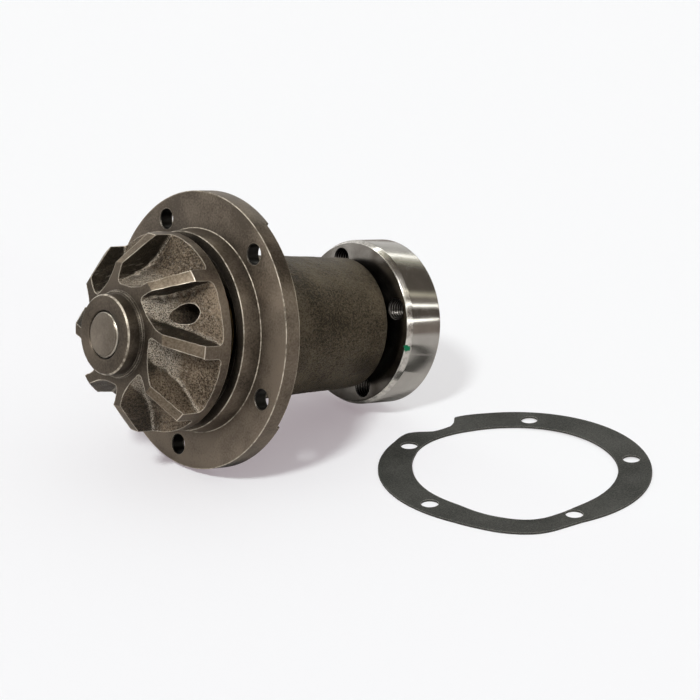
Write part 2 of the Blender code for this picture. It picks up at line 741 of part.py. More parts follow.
def main():
    clear_scene()
    housing_iron = material("housing_iron", (0.17, 0.15, 0.13), 0.6, 0.6)
    impeller_iron = material("impeller_iron", (0.20, 0.19, 0.17), 0.55, 0.6)
    turned_steel = material("turned_steel", (0.55, 0.54, 0.52), 0.25, 1.0)
    bearing_steel = material("bearing_steel", (0.62, 0.62, 0.64), 0.15, 1.0)
    spring_steel = material("spring_steel", (0.45, 0.45, 0.46), 0.35, 1.0)
    brass = material("seal_brass", (0.72, 0.55, 0.28), 0.35, 1.0)
    rubber = material("black_rubber", (0.03, 0.03, 0.03), 0.8, 0.0)
    nylon = material("cage_nylon", (0.55, 0.48, 0.36), 0.5, 0.0)
    carbon = material("seal_carbon", (0.06, 0.06, 0.065), 0.45, 0.0)
    ceramic = material("seal_ceramic", (0.85, 0.84, 0.80), 0.3, 0.0)
    fibre = material("gasket_fibre", (0.05, 0.05, 0.055), 0.85, 0.0)

    pump = axis_empty("pump_axis", -HUB_END)
    rotor = axis_empty("rotor_axis", 0, pump)
    seal_head = axis_empty("seal_head_axis", 0, pump)
    make_housing(housing_iron, pump)
    make_impeller(impeller_iron, rotor)
    make_shaft(bearing_steel, rotor)
    make_drive_hub(turned_steel, rotor)
    make_slinger(spring_steel, rotor)
    make_outer_ring(bearing_steel, pump)
    for row in BALL_ROWS:
        make_ball_row(row, bearing_steel, nylon, pump)
    make_bearing_seals(rubber, pump)
    make_snap_ring(spring_steel, pump)
    make_seal_case(brass, pump)
    make_seal_bellows(rubber, pump)
    make_seal_spring(spring_steel, pump)
    make_spring_retainer(spring_steel, seal_head)
    make_carbon_ring(carbon, seal_head)
    make_seal_seat(ceramic, rotor)
    make_seat_boot(rubber, rotor)
    make_gasket(fibre, pump)


main()
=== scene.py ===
"""The water pump's looks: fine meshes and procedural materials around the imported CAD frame.

Shapes are worked out in millimetres, with x along the shaft from the flange's mounting face,
and are then placed in the row frame, whose X axis is the shaft.
"""

import json
import math

import bmesh
import bpy
import numpy as np
from mathutils import Matrix, Vector, noise


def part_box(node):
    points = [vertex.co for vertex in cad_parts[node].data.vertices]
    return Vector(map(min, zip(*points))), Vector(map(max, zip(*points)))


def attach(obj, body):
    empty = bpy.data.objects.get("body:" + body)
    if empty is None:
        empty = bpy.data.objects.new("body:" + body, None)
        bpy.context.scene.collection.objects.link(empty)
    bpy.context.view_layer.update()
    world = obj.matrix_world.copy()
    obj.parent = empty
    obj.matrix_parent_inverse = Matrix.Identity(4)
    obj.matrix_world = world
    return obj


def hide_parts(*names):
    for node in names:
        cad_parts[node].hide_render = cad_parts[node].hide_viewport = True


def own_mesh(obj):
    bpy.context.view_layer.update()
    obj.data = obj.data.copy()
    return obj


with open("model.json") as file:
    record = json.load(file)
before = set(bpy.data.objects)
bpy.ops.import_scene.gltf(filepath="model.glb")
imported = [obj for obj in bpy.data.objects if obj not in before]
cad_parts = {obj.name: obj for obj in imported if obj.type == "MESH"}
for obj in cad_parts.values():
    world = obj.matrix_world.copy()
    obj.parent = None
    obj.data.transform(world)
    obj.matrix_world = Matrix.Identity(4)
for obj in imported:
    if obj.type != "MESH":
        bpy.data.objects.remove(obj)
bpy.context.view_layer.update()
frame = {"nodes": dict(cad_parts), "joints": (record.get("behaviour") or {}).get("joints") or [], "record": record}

MM = 0.001
TURN = 2 * math.pi
SEGMENTS = 240
SMALL_SEGMENTS = 96
RECORD = frame["record"]
MOUNTS = {mount["name"]: mount for mount in RECORD["mounts"]}
BODIES = {node: body for body, nodes in RECORD["behaviour"]["bodies"].items() for node in nodes}
JOINTS = {joint["name"]: joint for joint in frame["joints"]}
FLANGE_X = MOUNTS["mounting_flange"]["pos_m"][0] / MM


# Measures of the frame, in millimetres

# Below these, a run has no length, a point is on the axis, two ends are joined and a corner
# is straight; points of an outline are at least this far apart.
SHORTEST = 1e-5
ON_AXIS = 1e-3
JOINED = 0.01
APART = 0.02
STRAIGHT = 0.02


def span_x(node):
    """Where a node starts and ends along the shaft, from the flange's face."""
    low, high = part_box(node)
    return low.x / MM - FLANGE_X, high.x / MM - FLANGE_X


def outer_radius(node):
    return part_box(node)[1].z / MM


def section_pieces(node, degrees):
    """Where a node's triangles cross the half plane at this angle from the top."""
    mesh = frame["nodes"][node].data
    turn = math.radians(degrees)
    across = Vector((0, math.cos(turn), math.sin(turn)))
    outward = Vector((0, -math.sin(turn), math.cos(turn)))
    mesh.calc_loop_triangles()
    pieces = []
    for triangle in mesh.loop_triangles:
        corners = [mesh.vertices[index].co for index in triangle.vertices]
        ends = []
        for start, end in zip(corners, corners[1:] + corners[:1]):
            near, far = start @ across, end @ across
            if (near < 0) != (far < 0):
                point = start.lerp(end, near / (near - far))
                ends.append(Vector((point.x / MM - FLANGE_X, point @ outward / MM)))
        if len(ends) < 2 or (ends[1] - ends[0]).length < SHORTEST:
            continue
        ends.sort(key=lambda point: point.y)
        inner, outer = ends
        if outer.y < ON_AXIS:
            continue
        if inner.y < 0:
            inner = inner.lerp(outer, -inner.y / (outer.y - inner.y))
        pieces.append((inner, outer))
    return pieces


def section(node, degrees=0.1):
    """The outline of a turned node as (x, radius) points; a solid's runs from axis to axis."""
    pieces = section_pieces(node, degrees)
    on_axis = [ends for ends in pieces if ends[0].y < ON_AXIS]
    first = min(on_axis, key=lambda ends: ends[0].x) if on_axis else pieces[0]
    pieces.remove(first)
    outline = list(first)
    while pieces:
        here = outline[-1]
        nearest = min(pieces, key=lambda ends: min((end - here).length for end in ends))
        near, far = sorted(nearest, key=lambda end: (end - here).length)
        if (near - here).length > JOINED:
            break
        pieces.remove(nearest)
        outline.append(far)
    if on_axis:
        return straightened(outline, closed=False)
    return straightened(outline[:-1], closed=True)


def straightened(outline, closed):
    """Drops the points on a straight run, and those that repeat."""
    apart = [outline[0]]
    for point in outline[1:]:
        if (point - apart[-1]).length > APART:
            apart.append(point)
    kept = []
    for index, here in enumerate(apart):
        if not closed and index in (0, len(apart) - 1):
            kept.append(here)
            continue
        back = (here - apart[index - 1]).normalized()
        ahead = (apart[(index + 1) % len(apart)] - here).normalized()
        if abs(back.cross(ahead)) > STRAIGHT:
            kept.append(here)
    return [(point.x, point.y) for point in kept]


FLANGE_RADIUS = outer_radius("housing")
SPIGOT_END, NECK_END = span_x("housing")
BOSS_FRONT, IMPELLER_BACK = span_x("impeller")
IMPELLER_RADIUS = outer_radius("impeller")
HUB_START, HUB_END = span_x("drive_hub")
HUB_RADIUS = outer_radius("drive_hub")
SPIGOT_ROOT = 36.6
SPIGOT_EDGE = 35.7
FLANGE_BACK = 7.5


# Mesh helpers

OVERRUN = 2.0


def around(radius, degrees):
    """Y and Z of a point this far round, clockwise from the top seen from the impeller's end."""
    turn = math.radians(degrees)
    return -radius * math.sin(turn), radius * math.cos(turn)


def link(name, mesh, materials):
    obj = bpy.data.objects.new(name, mesh)
    for surface in materials:
        mesh.materials.append(surface)
    bpy.context.scene.collection.objects.link(obj)
    return obj


def mesh_of(name, points, faces, slots=None):
    """A mesh from points in millimetres, placed in the row frame in metres."""
    mesh = bpy.data.meshes.new(name)
    placed = (np.asarray(points, float) + (FLANGE_X, 0, 0)) * MM
    mesh.from_pydata(placed.tolist(), [], faces)
    if slots is not None:
        mesh.polygons.foreach_set("material_index", slots)
    mesh.update()
    return mesh


def primitive(name, make, material, **settings):
    """An object from one of bmesh's own solids."""
    mesh = bpy.data.meshes.new(name)
    shape = bmesh.new()
    make(shape, **settings)
    shape.to_mesh(mesh)
    shape.free()
    return link(name, mesh, [material])


def smooth(obj, degrees=35):
    obj.data.shade_smooth()
    obj.data.set_sharp_from_angle(angle=math.radians(degrees))


def edit(mesh, change):
    """Runs a change on a mesh as a bmesh, then turns its faces outward."""
    shape = bmesh.new()
    shape.from_mesh(mesh)
    change(shape)
    bmesh.ops.recalc_face_normals(shape, faces=shape.faces)
    shape.to_mesh(mesh)
    shape.free()


def face_out(mesh):
    edit(mesh, lambda shape: None)


def weld(mesh):
    """Joins points that meet, as those on the axis of a turned solid."""
    def change(shape):
        bmesh.ops.remove_doubles(shape, verts=shape.verts, dist=1e-6)
        bmesh.ops.dissolve_degenerate(shape, edges=shape.edges, dist=1e-7)

    edit(mesh, change)


def combine(obj, other, operation="DIFFERENCE"):
    """Cuts another solid out of the object, or joins it on, keeping that solid's material."""
    boolean = obj.modifiers.new("combine", "BOOLEAN")
    boolean.operation = operation
    boolean.solver = "EXACT"
    boolean.object = other
    boolean.material_mode = "TRANSFER"
    bpy.context.view_layer.update()
    graph = bpy.context.evaluated_depsgraph_get()
    made = bpy.data.meshes.new_from_object(obj.evaluated_get(graph))
    obj.modifiers.clear()
    obj.data = made
    bpy.data.objects.remove(other)


def eased(outline, ease, steps=3, closed=True):
    """Rounds each corner of an outline of (x, radius) points by up to this much."""
    made = []
    for index, here in enumerate(outline):
        if not closed and index in (0, len(outline) - 1):
            made.append(here)
            continue
        corner = Vector(here)
        back = Vector(outline[index - 1]) - corner
        ahead = Vector(outline[(index + 1) % len(outline)]) - corner
        start = corner + back.normalized() * min(ease, back.length * 0.4)
        end = corner + ahead.normalized() * min(ease, ahead.length * 0.4)
        for step in range(steps + 1):
            share = step / steps
            bend = start.lerp(corner, share).lerp(corner.lerp(end, share), share)
            made.append((bend.x, bend.y))
    return made


def divided(outline, wanted, longest):
    """Adds points along the runs where wanted(x, radius) holds, no further apart than this."""
    made = []
    for start, end in zip(outline, outline[1:] + outline[:1]):
        made.append(start)
        middle = ((start[0] + end[0]) / 2, (start[1] + end[1]) / 2)
        if wanted(*middle):
            parts = math.ceil(math.dist(start, end) / longest)
            for part in range(1, parts):
                share = part / parts
                made.append(tuple(a + (b - a) * share for a, b in zip(start, end)))
    return made


def bridge(near, far, count, closed):
    """Quads between two rings of the same count of points."""
    steps = [(i, (i + 1) % count) for i in range(count if closed else count - 1)]
    return [(near + here, near + after, far + after, far + here) for here, after in steps]


def lathe(name, outline, materials, segments=SEGMENTS, slot_of=None, closed=True,
          start=0.0, sweep=360.0):
    """Turns an outline about the shaft's axis, the whole way round or for part of a turn."""
    count = len(outline)
    whole = sweep >= 360
    rings = segments if whole else segments + 1
    turns = np.radians(start + np.arange(rings) * sweep / segments)
    profile = np.array(outline)
    points = np.empty((rings, count, 3))
    points[:, :, 0] = profile[None, :, 0]
    points[:, :, 1] = -profile[None, :, 1] * np.sin(turns)[:, None]
    points[:, :, 2] = profile[None, :, 1] * np.cos(turns)[:, None]
    faces = []
    for ring in range(segments):
        faces += bridge(ring * count, (ring + 1) % rings * count, count, closed)
    middles = (profile + np.roll(profile, -1, axis=0)) / 2
    ring_slots = [slot_of(*middle) if slot_of else 0 for middle in middles]
    slots = (ring_slots if closed else ring_slots[:-1]) * segments
    if not whole:
        faces += [list(range(count)), [(rings - 1) * count + index for index in range(count)]]
        slots += [0, 0]
    mesh = mesh_of(name, points.reshape(-1, 3), faces, slots)
    if closed:
        face_out(mesh)
    else:
        weld(mesh)
    obj = link(name, mesh, materials)
    smooth(obj)
    return obj


def tube(name, rings, material):
    """A closed solid through rings of points, capped at both ends."""
    count = len(rings[0])
    points = [point for ring in rings for point in ring]
    faces = []
    for ring in range(len(rings) - 1):
        faces += bridge(ring * count, (ring + 1) * count, count, True)
    faces += [list(range(count)), [(len(rings) - 1) * count + index for index in range(count)]]
    mesh = mesh_of(name, points, faces)
    face_out(mesh)
    obj = link(name, mesh, [material])
    smooth(obj)
    return obj


def bored(name, levels, pitch_radius, degrees, material, segments=48):
    """A solid along X, off the shaft's axis, through levels of (x, radius at each turn)."""
    y, z = around(pitch_radius, degrees)
    rings = []
    for x, radius_at in levels:
        ring = []
        for step in range(segments):
            turn = TURN * step / segments
            radius = radius_at(step / segments)
            ring.append((x, y + radius * math.cos(turn), z + radius * math.sin(turn)))
        rings.append(ring)
    return tube(name, rings, material)


def plain(*levels):
    """Levels of (x, radius) for a round solid."""
    return [(x, lambda share, size=size: size) for x, size in levels]


def drill(radius, start, end, pitch_radius, degrees, material, chamfer):
    """A cutter for one hole along X, chamfered at both mouths."""
    wide = radius + chamfer
    levels = plain(
        (start - OVERRUN, wide), (start, wide), (start + chamfer, radius),
        (end - chamfer, radius), (end, wide), (end + OVERRUN, wide),
    )
    return bored("drill", levels, pitch_radius, degrees, material)


def roughen(mesh, share_at, size, height, seed):
    """Moves vertices along their normals by smooth noise, times share_at(x, radius)."""
    offset = Vector((seed, seed * 2, seed * 3))
    normals = [vert.normal.copy() for vert in mesh.vertices]
    for vert, normal in zip(mesh.vertices, normals):
        x = vert.co.x / MM - FLANGE_X
        share = share_at(x, math.hypot(vert.co.y, vert.co.z) / MM)
        if share > 0:
            wave = noise.fractal(vert.co / MM / size + offset, 0.6, 2.2, 3)
            vert.co += normal * (wave * height * share * MM)
    mesh.update()


def stands_for(obj, node):
    """Puts the object in a node's place, on its body, and hides the node."""
    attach(obj, BODIES[node])
    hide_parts(node)
    return obj


# Materials

# How far off, in millimetres, other surfaces bring painted shade into a crevice or dull a corner's bright edge
# line.
CREVICE_REACH = 12.0
CORNER_REACH = 1.5
# How far in from a sharp edge its bright line reaches: worn edges with a painted highlight.
EDGE_LINE = 0.70
# Tints of painted shade on the vanes' walls and in the lowest pockets. The walls' painted shade is lighter below
# the first band of heights; the pockets' lies below the second one and beyond a band of Y.
WALL_SHADE = (0.026, 0.022, 0.015)
LOW_POCKET_SHADE = (0.034, 0.031, 0.028)
LOW_WALLS = (-11 * MM, -7 * MM)
SHADE_BELOW = (-20 * MM, -14 * MM)
SHADE_BEYOND = (-9 * MM, -6 * MM)
# Across the flange's face: its lower and upper reach, over which a painted bounce light from the bench makes the
# bottom paler and the top darker, and the band by its rim with a painted sheen.
FACE_REACH = (-45 * MM, 45 * MM)
SHEEN_BAND = (31 * MM, 45 * MM)


class Nodes:
    """A node tree, with short calls for what its shaders are made of."""

    def __init__(self, tree):
        self.tree = tree

    def add(self, kind, inputs=None, **settings):
        node = self.tree.nodes.new("ShaderNode" + kind)
        for name, value in settings.items():
            setattr(node, name, value)
        for key, value in (inputs or {}).items():
            self.feed(node.inputs[key], value)
        return node

    def feed(self, socket, value):
        if isinstance(value, bpy.types.NodeSocket):
            self.tree.links.new(value, socket)
        elif isinstance(value, tuple) and len(value) == 3 and socket.type == "RGBA":
            socket.default_value = (*value, 1)
        else:
            socket.default_value = value

    def levels(self, value, low, high, start=0.3, end=0.7):
        inputs = {
            "Value": value, "From Min": start, "From Max": end, "To Min": low, "To Max": high,
        }
        return self.add("MapRange", inputs).outputs["Result"]

    def mix(self, share, first, second):
        return self.add("Mix", {0: share, 6: first, 7: second}, data_type="RGBA").outputs[2]

    def math(self, operation, first, second=0.0):
        return self.add("Math", {0: first, 1: second}, operation=operation).outputs["Value"]

    def times(self, first, second):
        return self.math("MULTIPLY", first, second)

    def blend(self, first, second, share):
        """The first value, with this share of the second."""
        return self.math("ADD", self.times(first, 1 - share), self.times(second, share))

    def split(self, vector):
        """A vector's X, Y and Z."""
        return self.add("SeparateXYZ", {"Vector": vector}).outputs

    def seen(self):
        """1 for what the camera sees directly, and 0 for light and reflections."""
        return self.add("LightPath").outputs["Is Camera Ray"]


class Surface(Nodes):
    """A procedural material; its textures are placed in the row frame."""

    SOCKETS = {
        "colour": "Base Color", "roughness": "Roughness", "metallic": "Metallic",
        "normal": "Normal", "specular": "Specular IOR Level", "anisotropic": "Anisotropic",
        "turned": "Anisotropic Rotation", "tangent": "Tangent", "glow": "Emission Color",
        "glow_strength": "Emission Strength",
    }

    def __init__(self, name):
        self.material = bpy.data.materials.new(name)
        self.material.use_nodes = True
        super().__init__(self.material.node_tree)
        self.shader = self.tree.nodes["Principled BSDF"]
        self.place = self.add("TexCoord").outputs["Object"]

    def finish(self, **inputs):
        for key, value in inputs.items():
            self.feed(self.shader.inputs[self.SOCKETS[key]], value)
        return self.material

    def noise(self, per_metre, detail=3.0, roughness=0.55):
        inputs = {
            "Vector": self.place, "Scale": per_metre, "Detail": detail, "Roughness": roughness,
        }
        return self.add("TexNoise", inputs).outputs["Fac"]

    def shaft_length(self):
        return self.split(self.place)["X"]

    def shaft_radius(self):
        place = self.split(self.place)
        flat = self.add("CombineXYZ", {"Y": place["Y"], "Z": place["Z"]}).outputs["Vector"]
        return self.add("VectorMath", {0: flat}, operation="LENGTH").outputs["Value"]

    def tool_marks(self, per_metre, detail=2.0):
        """Noise that is constant round the shaft, as a lathe tool leaves it."""
        along = self.math("ADD", self.shaft_radius(), self.shaft_length())
        inputs = {"W": along, "Scale": per_metre, "Detail": detail}
        return self.add("TexNoise", inputs, noise_dimensions="1D").outputs["Fac"]

    def round_shaft(self):
        """The direction round the shaft, along which a lathe tool's grooves run."""
        return self.add("Tangent", direction_type="RADIAL", axis="X").outputs["Tangent"]

    def bump(self, height, millimetres, under=None):
        inputs = {"Height": height, "Distance": millimetres * MM, "Strength": 1.0}
        if under:
            inputs["Normal"] = under
        return self.add("Bump", inputs).outputs["Normal"]

    def edges(self, millimetres):
        """1 on sharp edges and 0 on flat ground, from how far a rounded normal turns there."""
        rounded = self.add("Bevel", {"Radius": millimetres * MM}, samples=8).outputs["Normal"]
        true = self.add("NewGeometry").outputs["True Normal"]
        dot = self.add("VectorMath", {0: rounded, 1: true}, operation="DOT_PRODUCT")
        return self.levels(dot.outputs["Value"], 1.0, 0.0, 0.86, 0.99)

    def facing_shaft_end(self):
        """1 where the surface faces along the shaft, and 0 where it stands square to it."""
        normal = self.add("NewGeometry").outputs["Normal"]
        return self.math("ABSOLUTE", self.split(normal)["X"])

    def openness(self, millimetres):
        """1 in the open, and less where other surfaces stand this close."""
        inputs = {"Distance": millimetres * MM}
        return self.add("AmbientOcclusion", inputs, samples=8).outputs["AO"]

    def in_crevice(self, colour, depth):
        """The colour with painted shade: darker by up to this much where other surfaces stand close round it."""
        shaded = self.mix(depth, colour, (0, 0, 0))
        return self.mix(self.levels(self.openness(CREVICE_REACH), 0, 1, 0.35, 0.95), shaded, colour)


def cast_iron(name, dark, light, highlight_tint=None):
    """Sand-cast iron: dark, grainy and blotched, with painted shade in crevices; an impeller's has painted shade
    on its walls, more on the higher ones, and in its lowest pockets, a painted highlight along the walls' foot,
    and bright edges, worn and with a painted highlight.
    """
    look = Surface(name)
    broad = look.noise(60, 1)
    grain = look.noise(1400, 2, 0.5)
    pits = look.noise(2800, 2, 0.7)
    shade = look.levels(look.blend(broad, look.blend(grain, pits, 0.4), 0.7), 0, 1, 0.41, 0.59)
    colour = look.mix(shade, dark, light)
    if highlight_tint:
        facing = look.facing_shaft_end()
        place = look.split(look.place)
        # Painted shade in the lowest pockets: below a band of heights and beyond a band of Y.
        low_shade = look.times(
            look.levels(place["Z"], 0.55, 0, *SHADE_BELOW),
            look.levels(place["Y"], 0, 1, *SHADE_BEYOND),
        )
        colour = look.mix(low_shade, colour, LOW_POCKET_SHADE)
        # Painted shade on the walls, where they stand square to the shaft; lighter on the lower walls.
        wall_shaded = look.mix(look.levels(place["Z"], 0.15, 0.85, *LOW_WALLS), colour, WALL_SHADE)
        colour = look.mix(look.levels(facing, 0, 1, 0.06, 0.30), wall_shaded, colour)
        # A painted highlight along the walls' foot, where they bend into the floor, flecked by the pits.
        foot = look.times(
            look.levels(facing, 0, 1, 0.10, 0.30), look.levels(facing, 1, 0, 0.45, 0.70),
        )
        foot_highlight = look.times(foot, look.levels(pits, 0, 0.75, 0.42, 0.58))
        colour = look.mix(foot_highlight, colour, highlight_tint)
    # Painted shade in crevices.
    colour = look.in_crevice(colour, 0.75)
    if highlight_tint:
        # Bright edge lines: worn edges with a painted highlight, broken up by noise.
        worn = look.levels(look.noise(420), 0.35, 1.0)
        colour = look.mix(look.times(look.edges(EDGE_LINE), worn), colour, highlight_tint)
    normal = look.bump(pits, 0.20, look.bump(grain, 0.45))
    return look.finish(
        colour=colour, metallic=0.75, roughness=look.levels(grain, 0.36, 0.54), normal=normal,
    )


def turned_iron(name, dark, light, edge_highlight_tint, roughness=(0.34, 0.46), ring_highlight=None, face_light=0.0):
    """Machined iron: smoother, with tool marks round the shaft, a stained mottle, painted shade in crevices and
    bright edges, worn and with a painted highlight.

    The optional radius, in millimetres, places a painted highlight line round the shaft. The share of face light
    is how much painted light the end faces get: paler towards their lower side, as bounce light from the bench,
    and a painted sheen at their rim on the camera's side.
    """
    look = Surface(name)
    blotches = look.noise(60, 4)
    fine = look.noise(1300, 3, 0.6)
    place = look.split(look.place)
    # Painted light on the end faces: a sheen in a band by the rim on the camera's side, and bounce light from the
    # bench, paler at the bottom and darker at the top.
    aside = look.math("SUBTRACT", look.times(place["Z"], 0.34), look.times(place["Y"], 0.94))
    sheen = look.levels(aside, 0, 1.9 * face_light, *SHEEN_BAND)
    lower = look.levels(place["Z"], face_light, -face_light, *FACE_REACH)
    paler = look.times(look.math("ADD", lower, sheen), look.facing_shaft_end())
    mottle_and_light = look.math("ADD", look.blend(blotches, fine, 0.4), paler)
    shade = look.levels(mottle_and_light, 0, 1, 0.38, 0.62)
    # Painted shade in crevices.
    colour = look.in_crevice(look.mix(shade, dark, light), 0.80)
    # Bright edges: worn, with a painted highlight, broken up by noise and kept out of corners.
    chipped = look.levels(look.noise(150, 4, 0.6), 0.25, 1.0, 0.40, 0.58)
    proud = look.levels(look.openness(CORNER_REACH), 0, 1, 0.60, 0.90)
    edge_highlight = look.times(look.times(look.edges(EDGE_LINE), chipped), proud)
    colour = look.mix(edge_highlight, colour, edge_highlight_tint)
    # A painted highlight line round the shaft at the given radius.
    if ring_highlight:
        off_line = look.math("ABSOLUTE", look.math("SUBTRACT", look.shaft_radius(), ring_highlight * MM))
        colour = look.mix(look.levels(off_line, 0.8, 0, 0.05 * MM, 0.3 * MM), colour, edge_highlight_tint)
    normal = look.bump(fine, 0.025, look.bump(look.tool_marks(4200), 0.012))
    return look.finish(
        colour=colour, metallic=0.8, roughness=look.levels(shade, *roughness, 0, 1), normal=normal,
        anisotropic=0.6, turned=0.25, tangent=look.round_shaft(),
    )


def worn_edge_highlight():
    """Bright iron on worn machined corners, with a painted highlight, chipped here and there."""
    look = Surface("worn_edge_highlight")
    chips = look.levels(look.blend(look.noise(90), look.noise(600, 3), 0.5), 0, 1, 0.40, 0.58)
    colour = look.mix(chips, (0.13, 0.108, 0.082), (0.62, 0.56, 0.46))
    return look.finish(
        colour=colour, metallic=0.3, roughness=0.42, normal=look.bump(chips, 0.03),
    )


def bright_steel(name, tint, roughness=(0.10, 0.20), marks=0.003):
    """Turned or ground steel: bright, with hair-fine marks round the shaft."""
    look = Surface(name)
    haze = look.noise(140, 3)
    dark = tuple(channel * 0.85 for channel in tint)
    colour = look.mix(look.levels(haze, 0, 1), dark, tint)
    rough = look.levels(haze, *roughness)
    normal = look.bump(look.tool_marks(8000, 3), marks)
    return look.finish(colour=colour, metallic=1.0, roughness=rough, normal=normal)


def even_finish(name, tint, roughness, metallic=0.0, grain=700, height=0.01):
    """Rubber, nylon, carbon, ceramic or brass: an even tint with its own grain."""
    look = Surface(name)
    fine = look.noise(grain, 3)
    dark = tuple(channel * 0.72 for channel in tint)
    colour = look.mix(look.levels(look.blend(look.noise(110), fine, 0.4), 0, 1), dark, tint)
    rough = look.levels(fine, roughness * 0.85, min(1.0, roughness * 1.15))
    return look.finish(
        colour=colour, metallic=metallic, roughness=rough, normal=look.bump(fine, height),
    )


def gasket_fibre():
    """Pressed fibre sheet: dark, matt and faintly flecked, and paler where it was cut."""
    look = Surface("gasket_fibre")
    flecks = look.noise(1900, 4, 0.7)
    shade = look.levels(look.blend(flecks, look.noise(40, 2), 0.3), 0, 1, 0.42, 0.58)
    colour = look.mix(shade, (0.016, 0.017, 0.015), (0.074, 0.075, 0.068))
    colour = look.mix(look.edges(0.25), colour, (0.36, 0.35, 0.32))
    return look.finish(
        colour=colour, roughness=look.levels(flecks, 0.60, 0.78), specular=0.28,
        normal=look.bump(flecks, 0.06),
    )


# Impeller

FIRST_VANE = -3.7
VANES = 8
FACE = -34.5
FACE_RADIUS = 25.0
CONE_END = -23.3
STEP = -35.3
STEP_RADIUS = 15.2
BOSS_RADIUS = 14.2
BOSS_CHAMFER = 0.7
BORE_RADIUS = 8.3
SEAT_RECESS_RADIUS = 14.9
SEAT_RECESS_END = -18.2
# Plan of one pocket between two vanes: x across and y outward from the shaft, with the
# leading vane's outer end at x = 0. Each corner has its fillet radius.
POCKET_CORNERS = ((3.63, 41.0), (-3.4, 16.9), (7.1, 16.9), (30.6, 30.4))
POCKET_FILLETS = (0.0, 2.4, 24.5, 0.0)
POCKET_TOP = -46.0
POCKET_DRAFT = math.tan(math.radians(3.0))
POCKET_FLOOR_FILLET = 1.8
POCKET_MEAN_DEPTH = 9.0
# Size, height and seed of each noise that makes the pockets' cast surface lumpy.
POCKET_LUMPS = ((3.4, 0.20, 3.1), (1.2, 0.09, 7.7))
# Radius and height of the pockets' floor, from the boss out to the rim.
POCKET_FLOOR = (
    (17.2, -34.5), (19.5, -30.5), (21.0, -26.5), (24.0, -22.3),
    (27.5, -19.6), (31.0, -17.8), (35.5, -16.0), (41.0, -14.6),
)
POCKET_ROWS = 34
POCKET_COLUMNS = 24
ROW_CROWDING = 1.3
SMALLEST_FILLET = 0.4
FILLET_STEPS = 5
WALL_STEPS = 14
BALANCE_RADIUS = 3.6
BALANCE_AT = 24.4
BALANCE_ANGLES = (59.5, 239.5)
TURNED, GROUND, RIM, CHAMFER = range(4)


def floor_height(radius):
    """The pockets' floor at this radius, on a smooth curve through the outline's points."""
    spots = POCKET_FLOOR
    index = min(max(sum(radius >= spot[0] for spot in spots) - 1, 0), len(spots) - 2)
    (r0, x0), (r1, x1) = spots[index:index + 2]
    before = spots[max(index - 1, 0)]
    after = spots[min(index + 2, len(spots) - 1)]
    wide = r1 - r0
    slope0 = (x1 - before[1]) / (r1 - before[0]) * wide
    slope1 = (after[1] - x0) / (after[0] - r0) * wide
    share = (radius - r0) / wide
    return (
        x0 * (2 * share ** 3 - 3 * share ** 2 + 1) + x1 * (3 * share ** 2 - 2 * share ** 3)
        + slope0 * (share ** 3 - 2 * share ** 2 + share) + slope1 * (share ** 3 - share ** 2)
    )


def inset_corners(corners, distance):
    """Moves each side of a counter-clockwise polygon inward and meets the sides again."""
    sides = []
    for start, end in zip(corners, corners[1:] + corners[:1]):
        along = (end - start).normalized()
        inward = Vector((-along.y, along.x))
        sides.append((start + inward * distance, along))
    moved = []
    for (first, along_first), (second, along_second) in zip([sides[-1]] + sides[:-1], sides):
        across = along_first.cross(along_second)
        moved.append(first + along_first * ((second - first).cross(along_second) / across))
    return moved


def rounded(corners, fillets, steps=24):
    """The polygon with its inner corners rounded, as an open outline from its first corner."""
    points = [corners[0]]
    for index in range(1, len(corners) - 1):
        corner, radius = corners[index], fillets[index]
        back = (corners[index - 1] - corner).normalized()
        ahead = (corners[index + 1] - corner).normalized()
        half = back.angle(ahead) / 2
        centre = corner + (back + ahead).normalized() * radius / math.sin(half)
        first = corner + back * radius / math.tan(half) - centre
        last = corner + ahead * radius / math.tan(half) - centre
        sweep = first.angle_signed(last)
        for step in range(steps + 1):
            points.append(centre + Matrix.Rotation(-sweep * step / steps, 2) @ first)
    points.append(corners[-1])
    return points


def dense(points, spacing=0.1):
    filled = []
    for start, end in zip(points, points[1:]):
        parts = max(1, int((end - start).length / spacing))
        filled.extend(start.lerp(end, part / parts) for part in range(parts))
    return filled + [points[-1]]


def side_angles(side, radii):
    """Angles from straight out at which one side of the outline crosses these radii."""
    reach = np.maximum.accumulate([point.length for point in side])
    turns = [math.atan2(point.x, point.y) for point in side]
    return np.interp(radii, reach, turns)


def pocket_grid(inset):
    """Radii and angles of a grid over one pocket's plan, shrunk by the inset."""
    corners = inset_corners([Vector(corner) for corner in POCKET_CORNERS], inset)
    fillets = [max(radius - inset, SMALLEST_FILLET) for radius in POCKET_FILLETS]
    outline = dense(rounded(corners, fillets))
    inner = min(range(len(outline)), key=lambda index: outline[index].length)
    leading, trailing = outline[inner::-1], outline[inner:]
    low = outline[inner].length + 0.02
    high = min(leading[-1].length, trailing[-1].length) - 0.05
    radii = low + (high - low) * (np.arange(POCKET_ROWS + 1) / POCKET_ROWS) ** ROW_CROWDING
    start, end = side_angles(leading, radii), side_angles(trailing, radii)
    across = np.arange(POCKET_COLUMNS + 1) / POCKET_COLUMNS
    turns = start[:, None] + (end - start)[:, None] * across[None, :]
    return np.repeat(radii[:, None], POCKET_COLUMNS + 1, 1), turns


